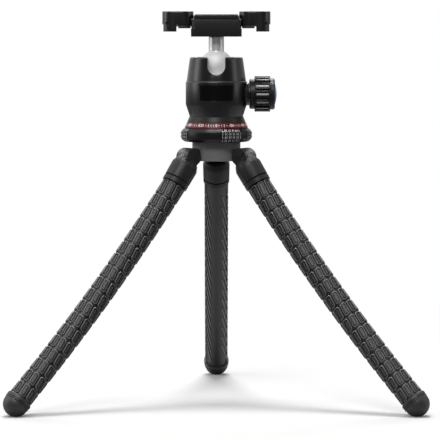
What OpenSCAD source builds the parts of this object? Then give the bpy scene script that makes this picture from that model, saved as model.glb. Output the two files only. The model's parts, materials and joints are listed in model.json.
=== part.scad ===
// Flexible leg tripod: three bendable rubber legs on a hinged hub, a panning ball head
// with a side lock knob, and a fold-flat phone clamp with a pop-up camera screw.
// The origin is on the floor, at the middle of the footprint. The front of the head faces -Y.

/* [Stance] */
// Distance of each leg hinge from the head axis
hinge_r = 22.5; // [21.5:0.1:25]
// Lean of the collars from upright
collar_tilt = 34; // [28:0.5:38]
// Lean of the first leg link from upright
first_tilt = 37.5; // [34:0.5:40]
// Extra lean of each next link
tilt_step = 1.83; // [0:0.01:3]
// Hinge pin to the first bend centre
neck_len = 26; // [25:0.5:34]
// Length of one leg link between bend centres
link_len = 48.45; // [44:0.05:70]

/* [Legs] */
// Radius of the rubber sleeve
sleeve_r = 9; // [8.6:0.1:10]
// How far the domed sleeve end lies inside the sleeve radius
dome_inset = 0.4; // [0.3:0.05:0.6]
// Bend that each leg joint is shaped for
bend_reach = 32; // [20:1:33]
// Radius of the ball on each core link
core_ball_r = 4; // [3.7:0.05:4.1]
// Radius of the neck below that ball
core_neck_r = 2.2; // [1.8:0.05:2.3]
// Radius of the core link's rod
core_rod_r = 3.2; // [2.6:0.1:3.6]
// Wall of the cup around that ball
cup_wall = 2.2; // [1.6:0.1:2.3]
// Spacing of the ring grooves in the sleeve
ring_pitch = 10.77; // [9:0.01:12]
// Number of ring grooves on each sleeve
ring_count = 4; // [2:1:4]
// Width of a ring groove
ring_groove_w = 1.2; // [0.8:0.1:2]
// Depth of a ring groove
ring_groove_d = 0.7; // [0.4:0.1:0.9]

/* [Collars and feet] */
// Radius of the collar at its shoulder
collar_r = 10; // [9.9:0.05:10.6]
// Radius of the collar at its upper rim
collar_rim_r = 8.4; // [8:0.1:9]
// Radius of the collar at its lower edge
collar_end_r = 9.75; // [9.6:0.05:10]
// Hinge pin to the upper rim of the collar
collar_top = 4; // [3.8:0.1:5]
// Length of the shoulder taper
shoulder_len = 4; // [2:0.5:6]
// Groove above the lower edge of the collar
collar_line = 3.7; // [2.5:0.1:5]
// Radius of the round hinge ends
knuckle_r = 5; // [4.6:0.1:5.2]
// Thickness of the hinge lug on the hub
lug_w = 8.4; // [6:0.1:8.8]
// Thickness of each cheek of the collar beside that lug
cheek_w = 3.5; // [3:0.1:4.2]
// Height of the lug's root above the hinge pin
lug_top = 3; // [2:0.1:4]
// Thickness of the hood over the hinge
hood_wall = 1.75; // [1.2:0.05:2.4]
// Turn of the hood below the hinge pin
hood_low_angle = 40; // [30:1:50]
// Radius of a hinge pin
pin_r = 1.5; // [1.2:0.1:1.7]
// Depth of a hinge pin's ends below the cheeks' sides
pin_sunk = 0.2; // [0.1:0.05:0.5]
// Radius of the band at the top of a foot
foot_band_r = 9.75; // [9.4:0.05:10.5]
// Height of that band
foot_band_h = 3.9; // [3:0.1:5]
// Radius of the domed foot
foot_dome_r = 9.4; // [9:0.05:9.8]
// Foot rim to the centre of the dome
foot_dome_s = 4.8; // [4.4:0.1:6]
// Depth of the flat worn on the dome where it stands
foot_flat = 0.5; // [0.3:0.1:0.8]
// Depth of the core's seat in the foot
foot_seat = 5; // [3:0.5:6]

/* [Hub and rings] */
// Radius of the hub
hub_r = 17.8; // [17:0.1:18]
// Height of the hub
hub_h = 13.8; // [12.5:0.1:16]
// Height of the hinge pins above the hub's underside
hinge_up = 2.6; // [2.2:0.1:3]
// Radius of the hub's neck inside the knurled ring
hub_neck_r = 14; // [11:0.5:16]
// Radius of the knurled ring
ring_r = 26.3; // [25:0.1:28]
// Height of the knurled ring
ring_h = 10.5; // [9:0.1:13]
// Chamfer of the knurled ring
ring_chamfer = 2.6; // [1.5:0.1:3.5]
// Radius of the red band at its foot
red_r = 23.5; // [22.5:0.1:24.5]
// Height of the red band
red_h = 4.3; // [3:0.1:6]
// Radius of the collar inside the red band
red_bore_r = 17; // [14:0.5:19]
// Radius of the pan base where it meets the red band
pan_low_r = 21.5; // [20.5:0.1:22.4]
// Radius of the pan base at its top
pan_top_r = 19.8; // [18.5:0.1:20.4]
// Height of the pan base's cone
pan_h = 4.1; // [3:0.1:6]
// Radius of the centre bolt
bolt_r = 3; // [2.5:0.25:4]
// Radius of the centre bolt's head
bolt_head_r = 5.5; // [4.5:0.25:7]
// Height of the centre bolt's head
bolt_head_h = 4; // [3:0.25:5]
// Length of the bolt's end past its nut
bolt_past = 1; // [0.5:0.25:2]
// Radius of the pan nut
pan_nut_r = 7; // [5.5:0.5:8]
// Height of the pan nut
pan_nut_h = 4; // [3:0.25:5]

/* [Ball head] */
// Radius of the head body at its foot
body_low_r = 19.7; // [18.5:0.1:20.5]
// Height of the flared foot of the head body
flare_h = 7.9; // [6:0.1:10]
// Radius of the head body at the top of the flare
flare_r = 22.3; // [21.5:0.1:22.5]
// Radius of the head body
body_r = 22.6; // [22.2:0.1:23.2]
// Height of the head body
body_h = 26.1; // [25.5:0.1:28]
// Height of the small steps on the head body
step_h = 1.1; // [0.6:0.1:1.4]
// Thickness of the head body's floor
body_floor = 4.1; // [3:0.1:5]
// Radius of the ball cap at its foot
cap_low_r = 21.9; // [21.2:0.1:22.5]
// Radius of the ball cap below its rounded top edge
cap_top_r = 19.7; // [18.4:0.1:20.8]
// Height of the ball cap
cap_h = 17.4; // [17:0.1:17.8]
// Rounding of the ball cap's top edge
cap_round = 1.6; // [1:0.1:2.4]
// Radius of the ball
ball_r = 12.1; // [11.6:0.05:12.3]
// Height of the ball's centre above the foot of the cap
ball_up = 11; // [10.8:0.1:11.4]
// Radius of the stem
stem_r = 5.65; // [5:0.05:5.9]
// Ball centre to the top of the stem
stem_len = 21.5; // [21.2:0.1:26]
// Radius of the spigot on top of the stem
spigot_r = 4; // [3:0.25:5]
// Height of that spigot
spigot_h = 4; // [3:0.25:5]
// Half width of the drop slot in the cap
slot_half = 6.5; // [6.2:0.05:7]
// How far the seat ring stands back from the drop slot's edge
seat_back = 1; // [0.5:0.1:1.5]
// Radius of the seat ring around the ball
seat_r = 15.5; // [14.5:0.1:16.5]
// Height of the seat ring above the foot of the cap
seat_up = 2.5; // [1.5:0.1:4]
// Height of the seat ring
seat_h = 12; // [9:0.1:12.4]
// Radius of the brake shoe
shoe_r = 9.5; // [8.5:0.1:9.9]
// Depth of the brake shoe's foot below the foot of the cap
shoe_down = 11.5; // [11.1:0.1:12]
// Height of the brake shoe's 45 degree foot
shoe_chamfer = 5; // [4:0.1:5.4]
// Lift of the brake shoe
shoe_lift = 0.35; // [0.2:0.05:0.6]
// Width of the bare badge
badge_w = 24.5; // [18:0.5:28]
// Height of the bare badge
badge_h = 11.3; // [8:0.1:12]
// Depth of the badge's centre below the foot of the cap
badge_down = 8.7; // [8:0.1:9.4]
// Depth of the badge's recess
badge_depth = 0.5; // [0.3:0.05:0.8]
// Depth of the badge's face below the head body
badge_sunk = 0.15; // [0.1:0.05:0.2]

/* [Lock knob] */
// Depth of the knob's axis below the foot of the cap
knob_down = 9.7; // [9.4:0.1:10]
// Radius of the neck that carries the knob
neck_r = 8.5; // [7.5:0.1:9.5]
// Head axis to the end of that neck
neck_end = 24.1; // [23.6:0.1:26]
// Radius of the knob's base
knob_base_r = 11.1; // [10:0.1:12]
// Length of the knob's base
knob_base_l = 3.9; // [2.5:0.1:5]
// Radius over the knob's lobes
lobe_r = 13.1; // [12.4:0.1:14]
// Length of the knob's lobes
lobe_l = 11.5; // [8:0.1:14]
// Number of lobes
lobe_n = 12; // [8:1:14]
// Width of the grooves between lobes
lobe_gap = 1.5; // [1:0.1:2]
// Depth of those grooves
lobe_depth = 1.5; // [0.8:0.1:2]
// Radius of the knob's end section
knob_end_r = 11.5; // [10.5:0.1:12.2]
// Length of the knob's end section
knob_end_l = 3.4; // [2:0.1:5]
// Radius of the coloured end cap
knob_cap_r = 8; // [6:0.1:9.5]
// Height of the coloured end cap's dome
knob_cap_h = 1.4; // [0.8:0.1:3]
// Depth of the end cap's seat
knob_cap_seat = 1.2; // [0.6:0.1:2]
// Width of an inlay bar
inlay_w = 1.5; // [0.8:0.1:2.5]
// Length of an inlay bar
inlay_l = 10.2; // [5:0.1:11]
// Depth of an inlay bar
inlay_d = 0.7; // [0.4:0.1:1]
// Radius of the knob's shaft
shaft_r = 4; // [3.2:0.1:4.4]
// Radius of the shaft's round tip
tip_r = 3; // [2.4:0.1:3.2]
// Depth of the shaft in the knob
shaft_grip = 9; // [5:0.5:12]

/* [Phone clamp] */
// Half length of the clamp housing
clamp_half = 18; // [17:0.1:18.2]
// Half length of the housing's foot flange
flange_half = 18.65; // [18.3:0.05:18.8]
// Height of the foot flange
flange_h = 6; // [4:0.1:6.4]
// Half depth of the clamp housing
clamp_deep = 12; // [11.7:0.05:12.2]
// Height of the clamp housing
clamp_h = 12.7; // [12.4:0.05:13]
// Edge rounding of the housing's upright corners
clamp_round = 2; // [1:0.1:3]
// Gap line between housing and cover
cover_line = 0.8; // [0.5:0.05:1]
// Height of the cover
cover_h = 2.1; // [1.8:0.05:2.6]
// Half length of the cover
cover_half = 16.6; // [15:0.1:16.7]
// Inset of the cover's plinth from the cover's front and back
plinth_inset = 0.5; // [0.3:0.1:1.5]
// Thickness of the rubber mat
mat_h = 0.8; // [0.4:0.05:1]
// Inset of the mat from the cover's edge
mat_inset = 0.8; // [0.4:0.1:2]
// Height of the arms above the housing's foot
arm_up = 7.4; // [7.2:0.05:7.6]
// Height of the arms
arm_h = 5; // [4.4:0.05:5.1]
// Width of an arm's slide bar
bar_w = 5.5; // [4:0.1:5.6]
// Half width of an arm's end
arm_end_half = 3.6; // [3:0.05:3.7]
// Half width of the rib between the slide bars
rib_half = 3.4; // [3.2:0.05:3.5]
// Length of a slide bar past the middle
bar_past = 13.5; // [12.5:0.5:14]
// Travel of each arm
arm_travel = 12; // [6:0.5:16]
// Length of the cross piece that joins bar and end
cross_l = 3.3; // [2.5:0.1:4]
// Radius of the camera screw
screw_r = 3.175; // [2.9:0.025:3.2]
// Height of the camera screw's flange
screw_flange_h = 1.6; // [1:0.1:2]
// Travel of the camera screw
screw_travel = 5.2; // [3:0.1:5.3]
// Depth of the camera screw's tip below the mat
screw_sunk = 0.5; // [0.3:0.1:1]
// Radius of a cover screw
cover_screw_r = 1.2; // [0.8:0.1:1.5]
// Radius of a cover screw's head
cover_screw_head_r = 2.2; // [1.8:0.1:3]
// Height of a cover screw's head
cover_screw_head_h = 1.2; // [0.8:0.1:1.4]
// Distance of a cover screw from the middle
cover_screw_x = 10.5; // [9:0.5:12]

/* [Phone jaws] */
// Length of a jaw
jaw_l = 23; // [22:0.1:26]
// Half depth of a jaw
jaw_deep = 12; // [11:0.1:13]
// Corner rounding of a jaw
jaw_round = 8; // [4:0.1:10]
// Head axis to the inner end of a jaw
jaw_in = 16.8; // [16.8:0.05:17.4]
// Head axis to the jaw's inner face below its step
jaw_step_in = 18.6; // [18.4:0.05:19]
// Height of that step above the housing's foot
jaw_step_up = 13; // [12.95:0.05:13.6]
// Height of a jaw's rim above the housing's foot
jaw_low = 9; // [8.6:0.05:9.4]
// Height of a jaw's top above the housing's foot
jaw_top = 18.7; // [18:0.05:20]
// Thickness of a jaw's top wall
jaw_wall = 2.6; // [2:0.1:3]
// Half width of the slot for the arm
jaw_slot_half = 4; // [3.9:0.05:4.5]
// Head axis to the near side of a jaw's foot
jaw_foot_in = 29.5; // [29:0.1:31]
// Head axis to the far side of a jaw's foot
jaw_foot_out = 38.9; // [38.2:0.1:39.2]
// Height of a jaw's foot above the housing's foot
jaw_foot_low = 3.7; // [3:0.1:5]
// Head axis to the jaw's hinge pin
jaw_pin_x = 36.2; // [36:0.05:36.6]
// Radius of the jaw's hinge pin
jaw_pin_r = 1.2; // [0.8:0.05:1.4]
// Depth of the jaw pin's ends below the jaw's sides
jaw_pin_sunk = 0.5; // [0.2:0.1:1]
// Head axis to the far end of a pad
pad_out = 28; // [25:0.1:28.8]
// Thickness of a pad
pad_h = 2.9; // [1.4:0.1:3.2]
// Inset of a pad from the jaw's side
pad_inset = 0.8; // [0.3:0.1:1.5]

/* [Clearances] */
// Running fit of pins, shafts and balls
run_fit = 0.05; // [0.03:0.01:0.1]
// Fit of pieces that stay put
seat_fit = 0.03; // [0.02:0.01:0.06]
// Gap between sliding or folding faces
slide_gap = 0.3; // [0.2:0.05:0.4]
// Gap under a stop
stop_gap = 0.2; // [0.1:0.05:0.3]

/* [Hidden] */
$fn = 64;
az_left = -150;
az_right = -30;
az_back = 90;
far = 60;
over = 1;
spare_angle = 1;
tiny = 0.01;

// Leg chain, in the upright plane of one leg
function tilt_of(k) = first_tilt + (k - 1) * tilt_step;
function reach_of(k) = k == 1
  ? hinge_r + neck_len * sin(collar_tilt)
  : reach_of(k - 1) + link_len * sin(tilt_of(k - 1));
function drop_of(k) = k == 1
  ? neck_len * cos(collar_tilt)
  : drop_of(k - 1) + link_len * cos(tilt_of(k - 1));
links = 4;
foot_k = links + 1;
hinge_z = drop_of(foot_k) + foot_dome_s * cos(tilt_of(links)) + foot_dome_r - foot_flat;
foot_reach = reach_of(foot_k) + foot_dome_s * sin(tilt_of(links));
axis_y = -foot_reach / 4;

// Bend joints of the legs
dome_r = sleeve_r - dome_inset;
socket_r = dome_r + slide_gap;
cup_in_r = core_ball_r + 2 * run_fit;
cup_r = cup_in_r + cup_wall;
cavity_r = cup_r + slide_gap;
mouth_angle = asin(core_neck_r / cavity_r) + bend_reach + spare_angle;
cup_angle = asin(core_neck_r / cup_in_r) + bend_reach + spare_angle;
rim_h = sleeve_r * tan(bend_reach / 2) + slide_gap / 4;
bore_r = core_rod_r + run_fit;
ball_neck_end = cavity_r + 2 * over;
rod_start = ball_neck_end - over;
rod_end = link_len - socket_r - slide_gap;
cup_neck_start = rod_end - over;
collar_end = neck_len - rim_h;

// Hinges of the legs
pocket_r = knuckle_r + slide_gap;
cheek_half = knuckle_r - 2 * slide_gap;
cheek_in = lug_w / 2 + slide_gap;
cheek_out = cheek_in + cheek_w;
hood_r = pocket_r + hood_wall;
shoulder_r = collar_rim_r - collar_top * (collar_r - collar_rim_r) / shoulder_len;
hood_stop = acos((hub_r + stop_gap - hinge_r) / hood_r);
hood_to = hood_stop - collar_tilt;

// Heights of the head, above the floor
hub_z = hinge_z - hinge_up;
ring_z = hub_z + hub_h;
red_z = ring_z + ring_h;
pan_z = red_z + red_h;
body_z = pan_z + pan_h;
cap_z = body_z + body_h;
ball_z = cap_z + ball_up;
clamp_z = ball_z + stem_len;
clamp_top = clamp_z + clamp_h;
cover_z = clamp_top + cover_line;
mat_z = cover_z + cover_h;
shoe_up = body_h - shoe_down;
badge_up = body_h - badge_down;
pan_nut_z = body_z + body_floor + run_fit * 2;
bolt_top = pan_nut_z + pan_nut_h + bolt_past;
shoe_z = cap_z - shoe_down;
knob_z = cap_z - knob_down;
lip_r = ball_r + slide_gap;

// Lock knob, along its axis
knob_x = neck_end + stop_gap;
lobe_x = knob_x + knob_base_l;
end_x = lobe_x + lobe_l;
cap_x = end_x + knob_end_l;
tip_x = shoe_r - shoe_chamfer + shoe_down - knob_down + tip_r * sqrt(2) + slide_gap / 2;

// Phone clamp
arm_z = clamp_z + arm_up;
pin_z = arm_z + arm_h / 2;
bar_in = rib_half + slide_gap;
bar_out = bar_in + bar_w;
arm_x = clamp_half - slide_gap / 2;
arm_end_r = arm_h / 2;
flange_screw_r = rib_half - slide_gap / 2;
pad_in = max(jaw_step_in, flange_half + slide_gap);
jaw_end_gap = jaw_in + jaw_l - jaw_pin_x - jaw_pin_r;
jaw_end_deep = jaw_deep - jaw_round + sqrt(pow(jaw_round, 2) - pow(max(0, jaw_round - jaw_end_gap), 2));
screw_stop = arm_z + screw_flange_h + screw_travel + stop_gap;

// Places

module at_axis(z) {
  translate([0, axis_y, z]) children();
}

module leg(az) {
  at_axis(0) rotate([0, 0, az]) children();
}

module every_leg() {
  for (az = [az_left, az_right, az_back])
    leg(az) children();
}

// Local Z runs down the leg and local -X faces outward
module at_hinge() {
  translate([hinge_r, 0, hinge_z]) rotate([0, 180 - collar_tilt, 0]) children();
}

module at_link(k) {
  translate([reach_of(k), 0, hinge_z - drop_of(k)])
    rotate([0, 180 - tilt_of(min(k, links)), 0]) children();
}

module along_x(x, z) {
  at_axis(0) translate([x, 0, z]) rotate([0, 90, 0]) children();
}

// The phone clamp's two sides are one shape, turned half way round
module clamp_side(turn) {
  at_axis(0) rotate([0, 0, turn]) children();
}

// Shapes

module cross_pin(r, l) {
  rotate([90, 0, 0]) cylinder(h = l, r = r, center = true);
}

module sector(r, a, b, w) {
  rotate([90, 0, 0]) rotate([0, 0, a])
    translate([0, 0, -w / 2]) rotate_extrude(angle = b - a) square([r, w]);
}

module round_block(l, d, h, r) {
  translate([r, -d, 0]) cube([l - 2 * r, 2 * d, h]);
  translate([0, r - d, 0]) cube([l, 2 * (d - r), h]);
  for (x = [r, l - r], y = [r - d, d - r])
    translate([x, y, 0]) cylinder(h = h, r = r);
}

module mouth(angle, reach) {
  cylinder(h = reach, r1 = 0, r2 = reach * tan(angle));
}

module cup() {
  difference() {
    sphere(r = cup_r);
    sphere(r = cup_in_r);
    mouth(cup_angle, cup_r + over);
  }
}

module ring_cut(s, r, w, d) {
  translate([0, 0, s - w / 2]) difference() {
    cylinder(h = w, r = r + over);
    cylinder(h = w, r = r - d);
  }
}

// Legs

module collar_shape() {
  difference() {
    union() {
      difference() {
        union() {
          shoulder();
          translate([0, 0, collar_top + shoulder_len])
            cylinder(h = collar_end - collar_top - shoulder_len, r1 = collar_r, r2 = collar_end_r);
        }
        ring_cut(collar_end - collar_line, collar_end_r, ring_groove_w, ring_groove_d);
        translate([0, 0, neck_len]) sphere(r = socket_r);
      }
      cheeks();
      translate([0, 0, neck_len - socket_r - over])
        cylinder(h = socket_r + over - cup_in_r - cup_wall / 2, r = core_neck_r);
      translate([0, 0, neck_len]) cup();
    }
    cross_pin(pocket_r, 2 * cheek_in);
    cross_pin(pin_r + run_fit, far);
  }
}

// The shoulder runs up into the hood on the outer side, and stops short of the hub on the inner side
module shoulder() {
  difference() {
    cylinder(h = collar_top + shoulder_len, r1 = shoulder_r, r2 = collar_r);
    translate([0, -collar_r, -over]) cube([collar_r, 2 * collar_r, collar_top + over]);
  }
}

// The cheeks swell into a hood over the lug, turned about the hinge pin on the outer side of the leg
module cheeks() {
  for (side = [-1, 1])
    translate([0, side * (cheek_in + cheek_w / 2), 0]) {
      cross_pin(knuckle_r, cheek_w);
      translate([-cheek_half, -cheek_w / 2, 0]) cube([2 * cheek_half, cheek_w, collar_top + shoulder_len]);
    }
  mirror([1, 0, 0]) mirror([0, 0, 1]) sector(hood_r, -hood_low_angle, hood_to, 2 * cheek_out);
}

module core_shape(last) {
  sphere(r = core_ball_r);
  cylinder(h = ball_neck_end, r = core_neck_r);
  if (last) {
    translate([0, 0, rod_start]) cylinder(h = link_len + foot_seat - rod_start, r = core_rod_r);
  } else {
    translate([0, 0, rod_start]) cylinder(h = rod_end - rod_start, r = core_rod_r);
    translate([0, 0, cup_neck_start])
      cylinder(h = link_len - cup_neck_start - cup_in_r - cup_wall / 2, r = core_neck_r);
    translate([0, 0, link_len]) cup();
  }
}

// Every second link starts half a ring spacing on, so that the grooves keep one spacing
module sleeve_shape(k) {
  first_ring = k % 2 == 1 ? ring_pitch : ring_pitch / 2;
  body_end = k == links ? link_len : link_len - rim_h;
  difference() {
    union() {
      sphere(r = dome_r);
      translate([0, 0, rim_h]) cylinder(h = body_end - rim_h, r = sleeve_r);
    }
    sphere(r = cavity_r);
    mirror([0, 0, 1]) mouth(mouth_angle, dome_r + over);
    translate([0, 0, rim_h]) cylinder(h = link_len, r = bore_r);
    for (i = [0 : ring_count - 1])
      ring_cut(first_ring + i * ring_pitch, sleeve_r, ring_groove_w, ring_groove_d);
    if (k < links)
      translate([0, 0, link_len]) sphere(r = socket_r);
  }
}

module foot_shape() {
  difference() {
    at_link(foot_k) difference() {
      union() {
        cylinder(h = foot_band_h, r = foot_band_r);
        intersection() {
          translate([0, 0, foot_dome_s]) sphere(r = foot_dome_r);
          cylinder(h = far, r = far);
        }
      }
      translate([0, 0, -tiny]) cylinder(h = foot_seat + slide_gap, r = bore_r);
    }
    translate([0, -far, -far]) cube([2 * foot_reach, 2 * far, far]);
  }
}

module collar(az) {
  color("#1c1c1e") leg(az) at_hinge() collar_shape();
}

module core(az, k) {
  color("#b9bcc0") leg(az) at_link(k) core_shape(k == links);
}

module sleeve(az, k) {
  color("#141415") leg(az) at_link(k) sleeve_shape(k);
}

module foot(az) {
  color("#19191a") leg(az) foot_shape();
}

// Hub and rings

module lug() {
  translate([hinge_r, 0, hinge_z]) {
    cross_pin(knuckle_r, lug_w);
    translate([-hinge_r / 2, -lug_w / 2, -hinge_up]) cube([hinge_r / 2, lug_w, hinge_up + lug_top]);
  }
}

module hub() {
  color("#4a4b4e") difference() {
    union() {
      at_axis(hub_z) cylinder(h = hub_h, r = hub_r);
      at_axis(ring_z - tiny) cylinder(h = ring_h + tiny, r = hub_neck_r);
      every_leg() lug();
    }
    every_leg() translate([hinge_r, 0, hinge_z]) cross_pin(pin_r + seat_fit, 2 * lug_w);
    at_axis(hub_z - far) cylinder(h = far, r = far);
    at_axis(hub_z - over) cylinder(h = over + bolt_head_h + stop_gap + seat_fit, r = bolt_head_r + seat_fit);
    at_axis(hub_z) cylinder(h = far, r = bolt_r + seat_fit);
  }
}

module leg_hinge_pins() {
  color("#8d9094") every_leg() translate([hinge_r, 0, hinge_z]) cross_pin(pin_r, 2 * (cheek_out - pin_sunk));
}

module centre_bolt() {
  color("#9a9da1") {
    at_axis(hub_z + stop_gap) cylinder(h = bolt_head_h, r = bolt_head_r);
    at_axis(hub_z + stop_gap) cylinder(h = bolt_top - hub_z - stop_gap, r = bolt_r);
  }
}

module pan_nut() {
  color("#9a9da1") at_axis(pan_nut_z) difference() {
    cylinder(h = pan_nut_h, r = pan_nut_r);
    translate([0, 0, -over]) cylinder(h = pan_nut_h + 2 * over, r = bolt_r + seat_fit);
  }
}

module knurled_ring() {
  side_h = ring_h - 2 * ring_chamfer - 2 * stop_gap;
  color("#29292b") at_axis(ring_z + stop_gap) difference() {
    union() {
      cylinder(h = ring_chamfer, r1 = ring_r - ring_chamfer, r2 = ring_r);
      translate([0, 0, ring_chamfer]) cylinder(h = side_h, r = ring_r);
      translate([0, 0, ring_chamfer + side_h])
        cylinder(h = ring_chamfer, r1 = ring_r, r2 = ring_r - ring_chamfer);
    }
    translate([0, 0, -over]) cylinder(h = ring_h + 2 * over, r = hub_neck_r + run_fit);
  }
}

module red_band() {
  color("#9d1420") at_axis(red_z) difference() {
    cylinder(h = red_h, r1 = red_r, r2 = pan_low_r);
    translate([0, 0, -over]) cylinder(h = red_h + 2 * over, r = red_bore_r + seat_fit);
  }
}

module pan_base() {
  color("#6f7472") at_axis(red_z) difference() {
    union() {
      cylinder(h = red_h, r = red_bore_r);
      translate([0, 0, red_h]) cylinder(h = pan_h, r1 = pan_low_r, r2 = pan_top_r);
    }
    translate([0, 0, -over]) cylinder(h = red_h + pan_h + 2 * over, r = bolt_r + seat_fit);
  }
}

// Ball head

module badge_place(grow, deep) {
  intersection() {
    difference() {
      cylinder(h = body_h, r = body_r + over);
      translate([0, 0, -over]) cylinder(h = body_h + 2 * over, r = body_r - badge_depth + deep);
    }
    translate([-badge_w / 2 - grow, -far, badge_up - badge_h / 2 - grow])
      cube([badge_w + 2 * grow, far, badge_h + 2 * grow]);
  }
}

module head_body() {
  wall_h = body_h - flare_h - 2 * step_h;
  color("#232325") {
    difference() {
      union() {
        at_axis(body_z + stop_gap / 2)
          cylinder(h = flare_h - stop_gap / 2, r1 = body_low_r, r2 = flare_r);
        at_axis(body_z + flare_h) cylinder(h = step_h, r1 = flare_r, r2 = body_r);
        at_axis(body_z + flare_h + step_h) cylinder(h = wall_h, r = body_r);
        at_axis(cap_z - step_h) cylinder(h = step_h, r1 = body_r, r2 = cap_low_r);
        along_x(body_r / 2, knob_z) cylinder(h = neck_end - body_r / 2, r = neck_r);
      }
      at_axis(body_z + body_floor) cylinder(h = shoe_up - body_floor, r = pan_nut_r + slide_gap);
      at_axis(body_z + shoe_up - over) cylinder(h = far, r = shoe_r + run_fit);
      at_axis(cap_z + ball_up) sphere(r = lip_r);
      at_axis(body_z) cylinder(h = body_floor + over, r = bolt_r + run_fit);
      along_x(0, knob_z) cylinder(h = far, r = shaft_r + run_fit);
      at_axis(body_z) badge_place(seat_fit, 0);
    }
  }
}

module front_badge() {
  color("#101011") at_axis(body_z) difference() {
    badge_place(0, seat_fit);
    difference() {
      cylinder(h = body_h, r = body_r + 2 * over);
      translate([0, 0, -over]) cylinder(h = body_h + 2 * over, r = body_r - badge_sunk);
    }
  }
}

module drop_slot(grow) {
  rotate([90, 0, 0]) cylinder(h = far, r = slot_half + grow);
  translate([-slot_half - grow, -far, 0]) cube([2 * (slot_half + grow), far, far]);
}

module ball_cap() {
  edge_z = cap_h - cap_round;
  color("#1f1f21") at_axis(cap_z) difference() {
    union() {
      cylinder(h = edge_z, r1 = cap_low_r, r2 = cap_top_r);
      translate([0, 0, edge_z]) rotate_extrude() {
        square([cap_top_r - cap_round, cap_round]);
        translate([cap_top_r - cap_round, 0]) intersection() {
          circle(r = cap_round);
          square(cap_round);
        }
      }
    }
    translate([0, 0, -over]) cylinder(h = seat_up + seat_h + over, r = seat_r + seat_fit);
    translate([0, 0, ball_up]) sphere(r = lip_r);
    translate([0, 0, ball_up]) drop_slot(0);
  }
}

module seat_ring() {
  color("#d8d6cf") at_axis(cap_z) difference() {
    cylinder(h = seat_up + seat_h, r = seat_r);
    translate([0, 0, -over]) cylinder(h = seat_up + over, r = ball_r);
    translate([0, 0, ball_up]) sphere(r = ball_r + run_fit * 2);
    translate([0, 0, ball_up]) drop_slot(seat_back);
  }
}

module brake_shoe() {
  lowered = shoe_lift + run_fit * 2;
  shoe_top = cap_z + seat_up / 2;
  color("#c9b27a") difference() {
    union() {
      at_axis(shoe_z) cylinder(h = shoe_chamfer, r1 = shoe_r - shoe_chamfer, r2 = shoe_r);
      at_axis(shoe_z + shoe_chamfer) cylinder(h = shoe_top - shoe_z - shoe_chamfer, r = shoe_r);
    }
    at_axis(ball_z - lowered) sphere(r = ball_r + run_fit * 2);
  }
}

module ball_stem() {
  color("#c3c5c8") at_axis(ball_z) {
    sphere(r = ball_r);
    cylinder(h = stem_len - stop_gap / 2, r = stem_r);
    cylinder(h = stem_len + spigot_h, r = spigot_r);
  }
}

// Lock knob

module knob() {
  color("#1a1a1c") difference() {
    union() {
      along_x(knob_x, knob_z) cylinder(h = knob_base_l, r = knob_base_r);
      along_x(lobe_x, knob_z) cylinder(h = lobe_l, r = lobe_r);
      along_x(end_x, knob_z) cylinder(h = knob_end_l, r = knob_end_r);
    }
    along_x(lobe_x, knob_z) for (i = [0 : lobe_n - 1])
      rotate([0, 0, (i + 0.5) * 360 / lobe_n])
        translate([lobe_r - lobe_depth, -lobe_gap / 2, -tiny]) cube([far, lobe_gap, lobe_l + 2 * tiny]);
    along_x(lobe_x, knob_z) inlay_bars(seat_fit);
    along_x(knob_x - over, knob_z) cylinder(h = shaft_grip + over, r = shaft_r + seat_fit);
    along_x(cap_x - knob_cap_seat, knob_z) cylinder(h = far, r = knob_cap_r + seat_fit);
  }
}

module inlay_bars(grow) {
  for (i = [0 : lobe_n - 1])
    rotate([0, 0, i * 360 / lobe_n])
      translate([lobe_r - inlay_d - grow, -inlay_w / 2 - grow, (lobe_l - inlay_l) / 2 - grow])
        cube([inlay_d - stop_gap + grow * 2 + (grow > 0 ? far : 0), inlay_w + 2 * grow, inlay_l + 2 * grow]);
}

module knob_inlays() {
  color("#e9e9ea") along_x(lobe_x, knob_z) inlay_bars(0);
}

module knob_end_cap() {
  dome_r = (pow(knob_cap_r, 2) + pow(knob_cap_h, 2)) / (2 * knob_cap_h);
  seat_x = cap_x - knob_cap_seat;
  color("#2f57a8") along_x(seat_x, knob_z) {
    cylinder(h = knob_cap_seat, r = knob_cap_r);
    intersection() {
      translate([0, 0, knob_cap_seat + knob_cap_h - dome_r]) sphere(r = dome_r);
      translate([0, 0, knob_cap_seat / 2]) cylinder(h = far, r = knob_cap_r);
    }
  }
}

module knob_shaft() {
  color("#a5a8ac") {
    along_x(tip_x, knob_z) sphere(r = tip_r);
    along_x(tip_x, knob_z) cylinder(h = tip_r + over, r = tip_r);
    along_x(tip_x + tip_r, knob_z) cylinder(h = knob_x + shaft_grip - tip_x - tip_r, r = shaft_r);
  }
}

// Phone clamp

module clamp_housing() {
  slot_low = arm_up - slide_gap;
  screw_pocket = cover_screw_x - 2 * cover_screw_head_r;
  color("#2a2a2c") at_axis(clamp_z) difference() {
    union() {
      translate([-clamp_half, 0, 0]) round_block(2 * clamp_half, clamp_deep, clamp_h, clamp_round);
      translate([-flange_half, 0, 0]) round_block(2 * flange_half, clamp_deep, flange_h, clamp_round);
    }
    for (side = [-1, 1])
      translate([-far, side > 0 ? bar_in - slide_gap : -bar_out - slide_gap, slot_low])
        cube([2 * far, bar_w + 2 * slide_gap, far]);
    for (turn = [0, 180])
      rotate([0, 0, turn]) translate([arm_x - cross_l - slide_gap, -bar_out - slide_gap, slot_low])
        cube([far, 2 * (bar_out + slide_gap), far]);
    translate([-screw_pocket, -bar_in, slot_low]) cube([2 * screw_pocket, 2 * bar_in, far]);
    translate([0, 0, -over]) cylinder(h = spigot_h + over + slide_gap, r = spigot_r + run_fit);
    cover_screw_holes();
  }
}

module cover_screw_holes() {
  for (x = [-cover_screw_x, cover_screw_x])
    translate([x, 0, arm_up]) cylinder(h = far, r = cover_screw_r + seat_fit);
}

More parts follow.
